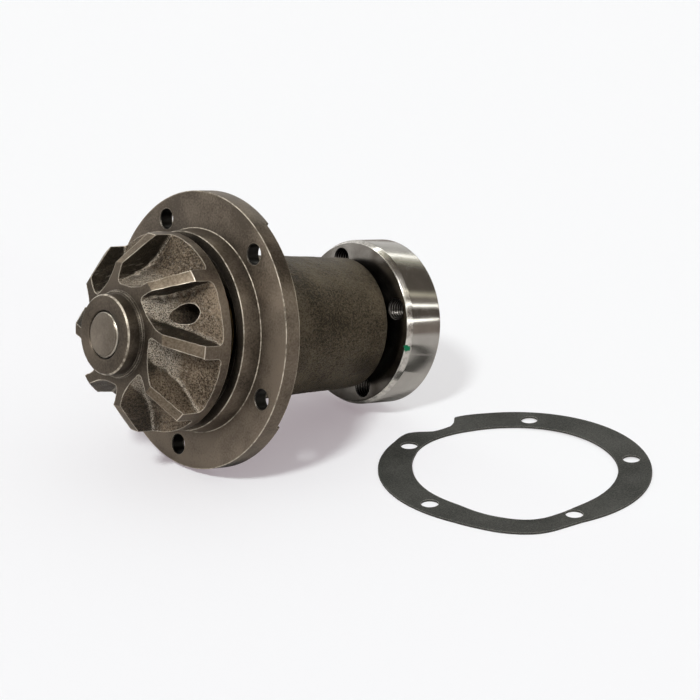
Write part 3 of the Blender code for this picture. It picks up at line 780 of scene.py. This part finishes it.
def pocket_levels():
    """Each level's (inset, rise above the floor, share of the way up to the top)."""
    base = POCKET_DRAFT * POCKET_MEAN_DEPTH
    top = POCKET_DRAFT * (POCKET_TOP - FACE)
    levels = []
    for step in range(FILLET_STEPS + 1):
        turn = math.pi / 2 * step / FILLET_STEPS
        rise = POCKET_FLOOR_FILLET * (1 - math.cos(turn))
        levels.append((base + POCKET_FLOOR_FILLET * (1 - math.sin(turn)), rise, 0.0))
    for step in range(1, WALL_STEPS + 1):
        share = step / WALL_STEPS
        levels.append((base + (top - base) * share, POCKET_FLOOR_FILLET, share))
    return levels


def pocket_rim():
    """Row and column of each grid point once round the pocket's edge."""
    rows, columns = POCKET_ROWS, POCKET_COLUMNS
    rim = [(row, 0) for row in range(rows, -1, -1)]
    rim += [(0, column) for column in range(1, columns)]
    rim += [(row, columns) for row in range(rows + 1)]
    rim += [(rows, column) for column in range(columns - 1, 0, -1)]
    return np.array(rim)


def pocket_cutter(material):
    """Eight closed solids, each the space between two vanes, with a cast surface."""
    rim = pocket_rim()
    wide = POCKET_COLUMNS + 1
    grid_faces = np.array([
        (row * wide + column, row * wide + column + 1,
         (row + 1) * wide + column + 1, (row + 1) * wide + column)
        for row in range(POCKET_ROWS) for column in range(POCKET_COLUMNS)
    ])
    levels = [pocket_grid(inset) + (rise, share) for inset, rise, share in pocket_levels()]
    points, faces = [], []
    for vane in range(VANES):
        heading = math.radians(FIRST_VANE + 360 / VANES * vane)
        loops = []
        for number, (radii, turns, rise, share) in enumerate(levels):
            whole = number in (0, len(levels) - 1)
            radius = radii.ravel() if whole else radii[rim[:, 0], rim[:, 1]]
            turn = (turns.ravel() if whole else turns[rim[:, 0], rim[:, 1]]) + heading
            floor = np.array([floor_height(reach) for reach in radius]) - rise
            height = floor + (POCKET_TOP - floor) * share
            here = len(points)
            points += list(zip(height, -radius * np.sin(turn), radius * np.cos(turn)))
            if whole:
                faces += (grid_faces + here).tolist()
                loops.append(rim[:, 0] * wide + rim[:, 1] + here)
            else:
                loops.append(np.arange(len(rim)) + here)
        for below, above in zip(loops, loops[1:]):
            after = np.roll(np.arange(len(rim)), -1)
            faces += np.stack([below, below[after], above[after], above], 1).tolist()
    mesh = mesh_of("pocket_cutter", points, faces)
    face_out(mesh)
    for size, height, seed in POCKET_LUMPS:
        roughen(mesh, lambda x, radius: 1.0, size, height, seed)
    obj = link("pocket_cutter", mesh, [material])
    smooth(obj, 60)
    return obj


def impeller_outline():
    return [
        (BOSS_FRONT, BORE_RADIUS + 0.5), (BOSS_FRONT, BOSS_RADIUS - BOSS_CHAMFER),
        (BOSS_FRONT + BOSS_CHAMFER, BOSS_RADIUS), (STEP, BOSS_RADIUS), (STEP, STEP_RADIUS),
        (FACE, STEP_RADIUS), (FACE, FACE_RADIUS), (CONE_END, IMPELLER_RADIUS),
        (IMPELLER_BACK, IMPELLER_RADIUS), (IMPELLER_BACK, SEAT_RECESS_RADIUS),
        (SEAT_RECESS_END, SEAT_RECESS_RADIUS), (SEAT_RECESS_END, BORE_RADIUS),
        (BOSS_FRONT + 0.5, BORE_RADIUS),
    ]


def impeller_slot(x, radius):
    """The finish of the turned blank: face, vanes' ground edges, rim or the boss's chamfer."""
    if FACE + 0.1 < x < CONE_END - 0.1 and radius > FACE_RADIUS:
        return GROUND
    if x < BOSS_FRONT + BOSS_CHAMFER and radius > BOSS_RADIUS - BOSS_CHAMFER + 0.1:
        return CHAMFER
    return RIM if x > CONE_END - 0.1 else TURNED


def make_impeller(finishes, cast, hole_iron):
    outline = eased(impeller_outline(), 0.2)
    impeller = lathe("impeller_casting", outline, finishes, slot_of=impeller_slot)
    combine(impeller, pocket_cutter(cast))
    for degrees in BALANCE_ANGLES:
        combine(impeller, drill(
            BALANCE_RADIUS, POCKET_TOP, IMPELLER_BACK, BALANCE_AT, degrees, hole_iron, 0.6,
        ))
    smooth(impeller, 40)
    stands_for(impeller, "impeller")


# Housing

FLANGE_HOLE_ANGLES = [-35 + 72 * hole for hole in range(5)]
FLANGE_PITCH_RADIUS = 43.0
FLANGE_HOLE_RADIUS = 3.6
SPOT_FACE = 5.3
SPOT_FACE_RADIUS = 6.0
RELIEF_FLOOR = 6.15
RELIEF_START = 27.0
RELIEF_SWEEP = 91.5
RELIEF_INNER_RADIUS = 38.0
CUT_BEYOND = 3.0
SEAM = 0.24
WEEP_X = 19.15
WEEP_RADIUS = 2.5
WEEP_ENDS = (-18.0, -32.0)
WEEP_SIDES = 32
SKIN_LUMPS = ((10.0, 0.16, 1.3), (2.4, 0.10, 5.9))
MACHINED, CAST, WORN_HIGHLIGHT = range(3)


def behind_flange(x, radius):
    return x > FLANGE_BACK - 0.05 and 22 < radius < FLANGE_RADIUS - 1


def is_cast(x, radius):
    """1 on the housing's rough skin, and 0 where it is machined."""
    in_recess = 0.5 < x < 1.9 and 21 < radius < 31
    return int(in_recess or behind_flange(x, radius) and x < NECK_END - 0.6)


def housing_slot(x, radius):
    """The finish of the housing's skin: its corners are worn, with a painted highlight."""
    if is_cast(x, radius):
        return CAST
    on_face = abs(x) < SEAM and (radius > FLANGE_RADIUS - SEAM or abs(radius - SPIGOT_ROOT) < SEAM)
    on_spigot = x < SPIGOT_END + SEAM and radius > SPIGOT_EDGE - SEAM
    return WORN_HIGHLIGHT if on_face or on_spigot else MACHINED


def relief(material):
    """A cutter for the arc on which the flange is thinner."""
    outer, beyond = FLANGE_RADIUS + CUT_BEYOND, FLANGE_BACK + CUT_BEYOND
    outline = [
        (RELIEF_FLOOR, RELIEF_INNER_RADIUS), (RELIEF_FLOOR, outer), (beyond, outer),
        (beyond, RELIEF_INNER_RADIUS),
    ]
    return lathe("relief", outline, [material], start=RELIEF_START, sweep=RELIEF_SWEEP)


def spot_face(degrees, material):
    """A cutter for the flat under one bolt's head."""
    levels = plain((SPOT_FACE, SPOT_FACE_RADIUS), (FLANGE_BACK + CUT_BEYOND, SPOT_FACE_RADIUS))
    return bored("spot_face", levels, FLANGE_PITCH_RADIUS, degrees, material)


def make_housing(machined, cast, worn_highlight, shaded_bore_iron):
    outline = divided(eased(section("housing"), SEAM), behind_flange, 0.8)
    housing = lathe("pump_housing", outline, [machined, cast, worn_highlight], slot_of=housing_slot)
    for size, height, seed in SKIN_LUMPS:
        roughen(housing.data, is_cast, size, height, seed)
    combine(housing, relief(cast))
    for degrees in FLANGE_HOLE_ANGLES:
        combine(housing, spot_face(degrees, machined))
        combine(housing, drill(
            FLANGE_HOLE_RADIUS, 0, SPOT_FACE, FLANGE_PITCH_RADIUS, degrees, shaded_bore_iron, 0.25,
        ))
    combine(housing, weep_hole(cast))
    smooth(housing, 40)
    stands_for(housing, "housing")


def weep_hole(material):
    """A cutter for the drain hole in the underside of the neck."""
    turns = [TURN * step / WEEP_SIDES for step in range(WEEP_SIDES)]
    circle = [(WEEP_X + WEEP_RADIUS * math.cos(t), WEEP_RADIUS * math.sin(t)) for t in turns]
    rings = [[(x, y, z) for x, y in circle] for z in WEEP_ENDS]
    return tube("weep_hole", rings, material)


# Hub and shaft

HUB_HOLE_ANGLES = [-26.2 + 90 * hole for hole in range(4)]
HUB_PITCH_RADIUS = 25.0
THREAD_PITCH = 1.25
THREAD_CREST = 3.35
THREAD_ROOT = 4.0
THREAD_LEAD_IN = 0.7
THREAD_ROWS_PER_PITCH = 8
# The paint dab's place along and round the shaft, and its edge, which noise makes ragged.
PAINT_PLACE = (77.2, 93.3)
PAINT_RAGGED = 3.84
PAINT_EDGE = (2.94, 3.12)


def tap(degrees, material):
    """A cutter for one threaded hole through the hub, whose wall follows a helix."""
    def radius_at(x):
        mouth = max(0.0, HUB_START + THREAD_LEAD_IN - x, x - HUB_END + THREAD_LEAD_IN)

        def at(share):
            phase = (x / THREAD_PITCH - share) % 1
            tooth = THREAD_ROOT - (THREAD_ROOT - THREAD_CREST) * abs(2 * phase - 1)
            return min(max(tooth, THREAD_CREST + mouth), THREAD_ROOT + 0.2)

        return at

    rise = THREAD_PITCH / THREAD_ROWS_PER_PITCH
    rows = math.ceil((HUB_END - HUB_START + 2 * OVERRUN) / rise)
    places = [HUB_START - OVERRUN + rise * row for row in range(rows + 1)]
    levels = [(x, radius_at(x)) for x in places]
    return bored("tap", levels, HUB_PITCH_RADIUS, degrees, material, 32)


def thread_steel():
    """The wall of a tapped hole: painted dark, as shade inside the hole, with a painted highlight on its crests.
    """
    look = Surface("thread_steel")
    colour = look.mix(look.edges(0.25), (0.02, 0.018, 0.016), (0.55, 0.53, 0.50))
    return look.finish(colour=colour, metallic=0.9, roughness=0.3)


def hub_steel():
    """Turned steel with painted shade on its inner face, blotchy, for the dark it reflects; a painted highlight on
    its bevel, broken up by noise; and one dab of green paint.
    """
    look = Surface("hub_steel")
    haze = look.noise(140, 3)
    blotches = look.levels(look.noise(90, 4), 0.5, 1.0)
    colour = look.mix(look.levels(haze, 0, 1), (0.47, 0.455, 0.43), (0.56, 0.545, 0.515))
    x, degrees = PAINT_PLACE
    spot = Vector(((x + FLANGE_X), *around(HUB_RADIUS - 0.7, degrees))) * MM
    distance = look.add("VectorMath", {0: look.place, 1: spot}, operation="DISTANCE")
    ragged = look.times(look.noise(520, 3, 0.7), PAINT_RAGGED * MM)
    paint = look.levels(
        look.math("ADD", distance.outputs["Value"], ragged), 1, 0,
        PAINT_EDGE[0] * MM, PAINT_EDGE[1] * MM,
    )
    # Painted shade on the inner face, blotchy, for the dark that it reflects.
    face = look.levels(look.shaft_length(), 1, 0, *[
        (HUB_START + FLANGE_X + depth) * MM for depth in (0.05, 0.15)
    ])
    colour = look.mix(look.times(face, blotches), colour, (0.12, 0.105, 0.09))
    colour = look.mix(paint, colour, (0.0, 0.16, 0.07))
    rough = look.math("ADD", look.levels(haze, 0.15, 0.18), look.times(paint, 0.3))
    normal = look.bump(look.tool_marks(6000, 3), 0.0010)
    # A painted highlight on the bevel, broken up by noise and kept off the paint.
    facing = look.facing_shaft_end()
    bevel = look.times(
        look.levels(facing, 0, 1, 0.3, 0.5), look.levels(facing, 1, 0, 0.8, 0.9),
    )
    broken_highlight = look.times(bevel, look.levels(look.noise(600, 3), 0.3, 1.0, 0.40, 0.55))
    edge_highlight = look.math("SUBTRACT", broken_highlight, paint)
    colour = look.mix(edge_highlight, colour, (1.0, 0.97, 0.92))
    rough = look.math("ADD", rough, look.times(bevel, 0.12))
    metal = look.math("SUBTRACT", 1.0, paint)
    return look.finish(
        colour=colour, metallic=metal, roughness=rough, normal=normal,
        anisotropic=0.9, turned=0.25, tangent=look.round_shaft(),
    )


def make_hub(steel, threads):
    hub = lathe("drive_hub_turned", eased(section("drive_hub"), 0.3), [steel])
    for degrees in HUB_HOLE_ANGLES:
        combine(hub, tap(degrees, threads))
    smooth(hub, 30)
    stands_for(hub, "drive_hub")


def make_shaft(steel):
    outline = eased(section("pump_shaft"), 0.2, 2, closed=False)
    shaft = lathe("shaft_ground", outline, [steel], SMALL_SEGMENTS, closed=False)
    stands_for(shaft, "pump_shaft")


# Bearing and seal

CAGE_CLEARANCE = 0.35
CAGE_SEGMENTS = 168
SNAP_RING_FROM = 110.0
SNAP_RING_SWEEP = 320.0
LUG_RADIUS = 2.3
LUG_HOLE = 0.9
LUG_INSET = 0.02
LUG_OUTWARD = 1.2
LUG_OVERLAP = 0.9


def make_turned(node, surface, ease, steps=2):
    outline = eased(section(node), ease, steps)
    return stands_for(lathe(node + "_fine", outline, [surface], SMALL_SEGMENTS), node)


def sphere(name, node, material, clearance, subdivisions):
    """A sphere where a ball of the bearing is, larger in radius by the clearance."""
    low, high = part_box(node)
    return primitive(
        name, bmesh.ops.create_icosphere, material, subdivisions=subdivisions,
        radius=(high.z - low.z) / 2 + clearance * MM, matrix=Matrix.Translation((low + high) / 2),
    )


def make_ball_row(row, steel, nylon):
    """The balls, and their crown cage: a ring with a round pocket for each ball."""
    balls = [name for name in frame["nodes"] if name.startswith("bearing_ball_" + row)]
    for node in balls:
        ball = sphere(node + "_ground", node, steel, 0, 4)
        ball.data.shade_smooth()
        stands_for(ball, node)
    node = "bearing_cage_" + row
    between_balls = 180 / len(balls)
    outline = eased(section(node, between_balls), 0.4)
    cage = lathe(node + "_moulded", outline, [nylon], CAGE_SEGMENTS)
    for ball in balls:
        combine(cage, sphere("pocket", ball, nylon, CAGE_CLEARANCE, 3))
    smooth(cage)
    stands_for(cage, node)


def make_bearing_seal(side, rubber):
    """A seal washer with a raised rim and a lip on the shaft."""
    node = "bearing_seal_" + side
    start, end = span_x(node)
    radii = [radius for x, radius in section(node)]
    inner, outer = min(radii), max(radii)
    middle = (start + end) / 2
    outline = [
        (start, outer), (start, outer - 1.4), (start + 0.35, outer - 1.8),
        (start + 0.35, inner + 1.9), (start, inner + 1.5), (start, inner + 0.5),
        (middle, inner), (end, inner + 0.5), (end, inner + 1.5), (end - 0.35, inner + 1.9),
        (end - 0.35, outer - 1.8), (end, outer - 1.4), (end, outer),
    ]
    seal = lathe(node + "_moulded", eased(outline, 0.15, 2), [rubber], SMALL_SEGMENTS)
    stands_for(seal, node)


def make_snap_ring(steel):
    """The split ring, with a round lug and its plier hole at each end."""
    node = "bearing_snap_ring"
    start, end = span_x(node)
    outline = eased(section(node, SNAP_RING_FROM + 0.1), 0.2, 2)
    inner = min(radius for x, radius in outline)
    ring = lathe(
        node + "_stamped", outline, [steel], SMALL_SEGMENTS,
        start=SNAP_RING_FROM, sweep=SNAP_RING_SWEEP,
    )
    pitch_radius = inner - LUG_RADIUS + LUG_OUTWARD
    half_lug = math.degrees(LUG_OVERLAP * LUG_RADIUS / pitch_radius)
    for degrees in (SNAP_RING_FROM + half_lug, SNAP_RING_FROM + SNAP_RING_SWEEP - half_lug):
        levels = plain((start + LUG_INSET, LUG_RADIUS), (end - LUG_INSET, LUG_RADIUS))
        combine(ring, bored("lug", levels, pitch_radius, degrees, steel), "UNION")
        combine(ring, drill(LUG_HOLE, start, end, pitch_radius, degrees, steel, 0.1))
    smooth(ring)
    stands_for(ring, node)


SPRING_WIRE = 0.7
SPRING_TURNS = 4
SPRING_STEPS = 60
SPRING_CLOSING = 0.35
WIRE_SIDES = 14


def make_spring(steel):
    """The seal's coil spring, with its end turns closed up."""
    start, end = span_x("seal_spring")
    radius = outer_radius("seal_spring") - SPRING_WIRE
    low, high = start + SPRING_WIRE, end - SPRING_WIRE
    rings = []
    steps = SPRING_TURNS * SPRING_STEPS
    for step in range(steps + 1):
        share = step / steps
        climb = share - SPRING_CLOSING * math.sin(TURN * share) / TURN
        x = high + (low - high) * climb
        degrees = 360 * SPRING_TURNS * share
        y, z = around(1.0, degrees)
        ring = []
        for side in range(WIRE_SIDES):
            turn = TURN * side / WIRE_SIDES
            reach = radius + SPRING_WIRE * math.cos(turn)
            ring.append((x + SPRING_WIRE * math.sin(turn), y * reach, z * reach))
        rings.append(ring)
    spring = tube("seal_spring_wound", rings, steel)
    stands_for(spring, "seal_spring")
    squash_with_seal(spring)


def squash_with_seal(obj):
    """Gives the soft piece its own copy of its mesh."""
    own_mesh(obj)


# Gasket

GASKET_HOLES = 5
GASKET_HOLE_RADIUS = 3.15
GASKET_HEADING = 109.6
GASKET_COLUMNS = 8
GASKET_EDGE = 0.06
# How high the sprung side stands, and where along the bench it starts and how far it runs.
GASKET_LIFT = 1.2
GASKET_LIFT_FROM = -10
GASKET_LIFT_RUN = 60
PUNCH_LENGTH = 20
# Angle and radius of the gasket's edges, from the first hole round clockwise.
GASKET_OUTER = (
    (0, 49.6), (9, 50.2), (13, 49.2), (21, 44.2), (31, 44.0), (35, 46.5), (38, 50.6),
    (54, 50.2), (72, 50.0), (108, 49.6), (144, 49.4), (180, 49.4), (216, 49.2),
    (224, 50.6), (232, 52.8), (239, 53.6), (249, 52.8), (259, 51.0), (270, 49.6),
    (288, 49.2), (324, 49.4),
)
GASKET_INNER = (
    (0, 38.6), (12, 38.8), (26, 38.2), (40, 37.3), (60, 36.9), (90, 36.9), (120, 36.9),
    (150, 37.2), (180, 37.2), (200, 37.6), (212, 38.6), (224, 41.0), (232, 42.8),
    (240, 43.2), (250, 41.9), (262, 39.8), (276, 37.4), (300, 36.9), (330, 36.9),
    (350, 37.8),
)


def edge_radius(outline, degrees):
    """The radius of one of the gasket's edges at an angle, on a smooth closed curve."""
    count = len(outline)
    index = max(number for number in range(count) if outline[number][0] <= degrees)
    here, after = outline[index], outline[(index + 1) % count]
    before, later = outline[index - 1][1], outline[(index + 2) % count][1]
    share = (degrees - here[0]) / ((after[0] - here[0]) % 360)
    bend = (after[1] - before) * share
    bend += (2 * before - 5 * here[1] + 4 * after[1] - later) * share ** 2
    bend += (3 * here[1] - before - 3 * after[1] + later) * share ** 3
    return here[1] + bend / 2


def bench_axes():
    """The bench's own axes in the row frame, as the columns of a matrix; its last is up."""
    up = Vector(JOINTS["gasket_lift"]["axis"]).normalized()
    across = Vector((0, 1, 0))
    return Matrix((across.cross(up), across, up)).transposed()


def gasket_section(thickness):
    """Share of the way out, distance from that edge and height of each point round a section."""
    edge, top = GASKET_EDGE, thickness
    columns = [column / GASKET_COLUMNS for column in range(1, GASKET_COLUMNS)]
    section = [(0, 0, edge), (0, edge, 0)]
    section += [(share, 0, 0) for share in columns]
    section += [(1, -edge, 0), (1, 0, edge), (1, 0, top - edge), (1, -edge, top)]
    section += [(share, 0, top) for share in columns[::-1]]
    section += [(0, edge, top), (0, 0, top - edge)]
    return section


def make_gasket(fibre):
    """The loose gasket: cut sheet lying on the bench, with one side sprung up a little."""
    bench = bench_axes()
    node = frame["nodes"]["gasket"]
    cad = np.array([bench.transposed() @ vert.co for vert in node.data.vertices])
    low, high = cad.min(0), cad.max(0)
    thickness = (high[2] - low[2]) / MM
    section_points = gasket_section(thickness)
    count = len(section_points)
    points, faces = [], []
    for degrees in range(360):
        inner, outer = edge_radius(GASKET_INNER, degrees), edge_radius(GASKET_OUTER, degrees)
        turn = math.radians(GASKET_HEADING - degrees)
        for share, shift, height in section_points:
            radius = inner + (outer - inner) * share + shift
            points.append((radius * math.cos(turn), radius * math.sin(turn), height))
        faces += bridge(degrees * count, (degrees + 1) % 360 * count, count, True)
    mesh = bpy.data.meshes.new("gasket_sheet")
    flat = np.array(points)
    flat[:, :2] *= min((high - low)[:2] / MM / np.ptp(flat, axis=0)[:2])
    centre = (low + high) / 2 - (flat.max(0) + flat.min(0)) / 2 * MM
    mesh.from_pydata((flat * MM + centre).tolist(), [], faces)
    face_out(mesh)
    gasket = link("gasket_sheet", mesh, [fibre])
    for hole in range(GASKET_HOLES):
        turn = math.radians(GASKET_HEADING - 360 / GASKET_HOLES * hole)
        middle = Vector((math.cos(turn), math.sin(turn), 0)) * FLANGE_PITCH_RADIUS * MM
        combine(gasket, gasket_punch(middle + Vector(centre), fibre))
    spring_up(gasket.data, centre)
    gasket.data.transform(bench.to_4x4())
    smooth(gasket, 30)
    stands_for(gasket, "gasket")


def gasket_punch(middle, material):
    """A cutter for one of the gasket's holes."""
    radius = GASKET_HOLE_RADIUS * MM
    return primitive(
        "punch", bmesh.ops.create_cone, material, cap_ends=True, segments=40, radius1=radius,
        radius2=radius, depth=PUNCH_LENGTH * MM, matrix=Matrix.Translation(middle),
    )


def spring_up(mesh, centre):
    """Lifts the side of the sheet furthest along the bench, as if it had been rolled."""
    for vert in mesh.vertices:
        along = (vert.co.x - centre[0]) / MM
        share = min(max((along - GASKET_LIFT_FROM) / GASKET_LIFT_RUN, 0), 1)
        vert.co.z += GASKET_LIFT * share * share * MM


# Bench, lights and camera

CAMERA_PLACE = (-606.77, -618.15, 188.22)
CAMERA_FORWARD = (0.67308, 0.70390, -0.22692)
CAMERA_UP = (0.04546, 0.26687, 0.96266)
CAMERA_LENS = 118.12
BENCH_REACH = 4.0


def make_camera():
    forward, up = Vector(CAMERA_FORWARD).normalized(), Vector(CAMERA_UP).normalized()
    right = forward.cross(up).normalized()
    turn = Matrix((right, right.cross(forward), -forward)).transposed()
    data = bpy.data.cameras.new("camera")
    data.lens = CAMERA_LENS
    data.sensor_width = 36
    data.clip_end = 20
    camera = bpy.data.objects.new("camera", data)
    camera.matrix_world = Matrix.Translation(Vector(CAMERA_PLACE) * MM) @ turn.to_4x4()
    bpy.context.scene.collection.objects.link(camera)
    bpy.context.scene.camera = camera


def floor_material():
    """Glowing white paper, with a paler shadow by the hub, which can't be seen from below.

    Only the camera sees it this white, so the iron mirrors a greyer bench.
    """
    look = Surface("bench_paper")
    seen = look.seen()
    beyond = look.levels(look.shaft_length(), 0, 1, 90 * MM, 130 * MM)
    mirrored = look.mix(beyond, (0.60, 0.585, 0.575), (0.25, 0.215, 0.195))
    by_hub = look.levels(look.shaft_length(), 0, 1, -12 * MM, 6 * MM)
    paper = look.mix(by_hub, (0.64, 0.695, 0.70), (0.34, 0.365, 0.375))
    look.finish(
        colour=look.mix(seen, mirrored, paper), roughness=0.8, specular=0.1,
        glow=look.mix(by_hub, (0.305, 0.260, 0.280), (0.605, 0.590, 0.595)), glow_strength=seen,
    )
    clear = look.add("BsdfTransparent").outputs["BSDF"]
    backside = look.add("NewGeometry").outputs["Backfacing"]
    shader = look.add("MixShader", {0: backside, 1: look.shader.outputs["BSDF"], 2: clear})
    output = look.tree.nodes["Material Output"]
    look.feed(output.inputs["Surface"], shader.outputs["Shader"])
    return look.material


def make_floor():
    bench = bench_axes()
    up = bench.col[2]
    lowest = min(up @ vert.co for vert in frame["nodes"]["gasket"].data.vertices)
    mesh = bpy.data.meshes.new("bench_top")
    corners = [(-1, -1), (1, -1), (1, 1), (-1, 1)]
    points = [bench @ Vector((x * BENCH_REACH, y * BENCH_REACH, lowest)) for x, y in corners]
    mesh.from_pydata(points, [], [(0, 1, 2, 3)])
    link("bench_top", mesh, [floor_material()])


def make_sun(name, towards, strength, width, on_gloss):
    """A lamp that lights only glossy or only matt surfaces, from a direction on the bench."""
    data = bpy.data.lights.new(name, "SUN")
    data.energy = strength
    data.angle = math.radians(width)
    data.color = LAMP_TINT
    lamp = bpy.data.objects.new(name, data)
    lamp.visible_glossy = on_gloss
    lamp.visible_diffuse = not on_gloss
    shine = bench_axes() @ -Vector(towards)
    lamp.rotation_euler = shine.to_track_quat("-Z", "Y").to_euler()
    bpy.context.scene.collection.objects.link(lamp)


# Where the lamps stand on the bench's axes. The paper's is turned to drop the photo's shadow.
KEY_ON_METAL, KEY_ON_PAPER = (-0.8, -0.28, 0.95), (-0.8, -0.42, 0.95)
OVERHEAD = (0, 0, 1)
LAMP_TINT = (1.0, 0.985, 0.965)
BACKDROP = (0.95, 0.95, 0.95)
# Turn about the shaft from straight up towards the camera's side, and the room's colour there:
# a white wall behind the pump, a dim ceiling and three narrow windows on the camera's side.
WALL, DIM, WINDOW = (1.12, 1.11, 1.09), (0.11, 0.095, 0.08), (4.6, 4.6, 4.4)
ROOM = (
    (-110, WALL), (-60, (0.68, 0.67, 0.65)), (-33, (0.50, 0.49, 0.46)), (-31, WINDOW),
    (-29, WINDOW), (-27, (0.58, 0.57, 0.47)), (-20, (0.50, 0.49, 0.40)), (-8, DIM), (34, DIM),
    (38, (0.75, 0.71, 0.58)), (41, (0.75, 0.71, 0.58)), (43, (0.22, 0.195, 0.17)),
    (53, (0.22, 0.195, 0.17)), (54, WINDOW), (55.5, WINDOW), (56.5, DIM), (73.5, DIM),
    (74.5, WINDOW), (75.8, WINDOW), (76.8, (0.26, 0.23, 0.21)), (125, (0.30, 0.27, 0.25)),
    (180, WALL),
)


def make_world():
    """A room that only reflections show; the camera sees a plain backdrop in its place."""
    world = bpy.data.worlds.new("studio")
    world.cycles_visibility.diffuse = False
    world.use_nodes = True
    look = Nodes(world.node_tree)
    aim = look.split(look.add("TexCoord").outputs["Generated"])
    turn = look.math("ARCTAN2", look.times(aim["Y"], -1.0), aim["Z"])
    bands = look.add("ValToRGB", {"Fac": look.levels(turn, 0, 1, -math.pi, math.pi)})
    colour = look.mix(look.seen(), bands.outputs["Color"], BACKDROP)
    look.feed(look.tree.nodes["Background"].inputs["Color"], colour)
    stops = bands.color_ramp.elements
    for number, (degrees, shade) in enumerate(ROOM):
        place = (degrees + 180) / 360
        stop = stops[number] if number < len(stops) else stops.new(place)
        stop.position = place
        stop.color = (*shade, 1)
    bpy.context.scene.world = world


def make_studio():
    make_floor()
    make_camera()
    make_world()
    make_sun("key_on_metal", KEY_ON_METAL, 1.85, 16.0, True)
    make_sun("key_on_paper", KEY_ON_PAPER, 2.50, 8.0, False)
    make_sun("sky_on_paper", OVERHEAD, 1.33, 140.0, False)
    bpy.context.scene.view_settings.view_transform = "Standard"


def main():
    cast = cast_iron("cast_iron", (0.034, 0.026, 0.016), (0.190, 0.157, 0.110))
    vane_cast = cast_iron(
        "impeller_cast", (0.046, 0.034, 0.023), (0.37, 0.292, 0.211), highlight_tint=(0.95, 0.87, 0.74),
    )
    hole_iron = cast_iron("drilled_casting", (0.050, 0.038, 0.026), (0.27, 0.215, 0.157))
    machined = turned_iron(
        "machined_iron", (0.088, 0.070, 0.053), (0.245, 0.200, 0.155), (0.66, 0.60, 0.49),
        face_light=0.08,
    )
    # The bolt holes' walls are painted near black, as shade inside the holes.
    shaded_bore_iron = turned_iron(
        "shaded_bore_iron", (0.025, 0.022, 0.018), (0.045, 0.040, 0.033), (0.25, 0.23, 0.20),
    )
    vane_turned = turned_iron(
        "impeller_turned", (0.058, 0.046, 0.034), (0.142, 0.115, 0.088), (0.90, 0.82, 0.69),
    )
    vane_ground = turned_iron(
        "vane_ground", (0.085, 0.065, 0.044), (0.315, 0.257, 0.191), (0.98, 0.90, 0.77),
        (0.42, 0.52), IMPELLER_RADIUS - 0.15,
    )
    ground = bright_steel("ground_steel", (0.60, 0.60, 0.60))
    shaft_steel = turned_iron(
        "shaft_end_steel", (0.14, 0.118, 0.094), (0.24, 0.206, 0.168), (0.70, 0.65, 0.56),
        ring_highlight=7.8,
    )
    springy = even_finish("spring_steel", (0.30, 0.29, 0.28), 0.32, 1.0, 1800, 0.004)
    brass = even_finish("seal_brass", (0.40, 0.28, 0.12), 0.42, 1.0, 900, 0.006)
    rubber = even_finish("black_rubber", (0.022, 0.022, 0.023), 0.62, 0.0, 1500, 0.012)
    nylon = even_finish("cage_nylon", (0.62, 0.58, 0.47), 0.45, 0.0, 600, 0.006)
    carbon = even_finish("seal_carbon", (0.035, 0.035, 0.038), 0.38, 0.0, 2200, 0.004)
    ceramic = even_finish("seal_ceramic", (0.80, 0.77, 0.70), 0.22, 0.0, 1200, 0.002)

    worn_highlight = worn_edge_highlight()
    make_housing(machined, cast, worn_highlight, shaded_bore_iron)
    make_impeller([vane_turned, vane_ground, machined, worn_highlight], vane_cast, hole_iron)
    make_hub(hub_steel(), thread_steel())
    make_shaft(shaft_steel)
    make_turned("slinger", ground, 0.2)
    make_turned("bearing_outer_ring", ground, 0.3)
    for row in ("front", "rear"):
        make_ball_row(row, ground, nylon)
        make_bearing_seal(row, rubber)
    make_snap_ring(springy)
    make_turned("seal_case", brass, 0.5, 4)
    bellows = make_turned("seal_bellows", rubber, 1.3, 5)
    squash_with_seal(bellows)
    make_spring(springy)
    make_turned("seal_spring_retainer", springy, 0.4, 4)
    make_turned("seal_carbon_ring", carbon, 0.2)
    make_turned("seal_seat", ceramic, 0.3)
    make_turned("seal_seat_boot", rubber, 0.4, 3)
    make_gasket(gasket_fibre())
    make_studio()


main()
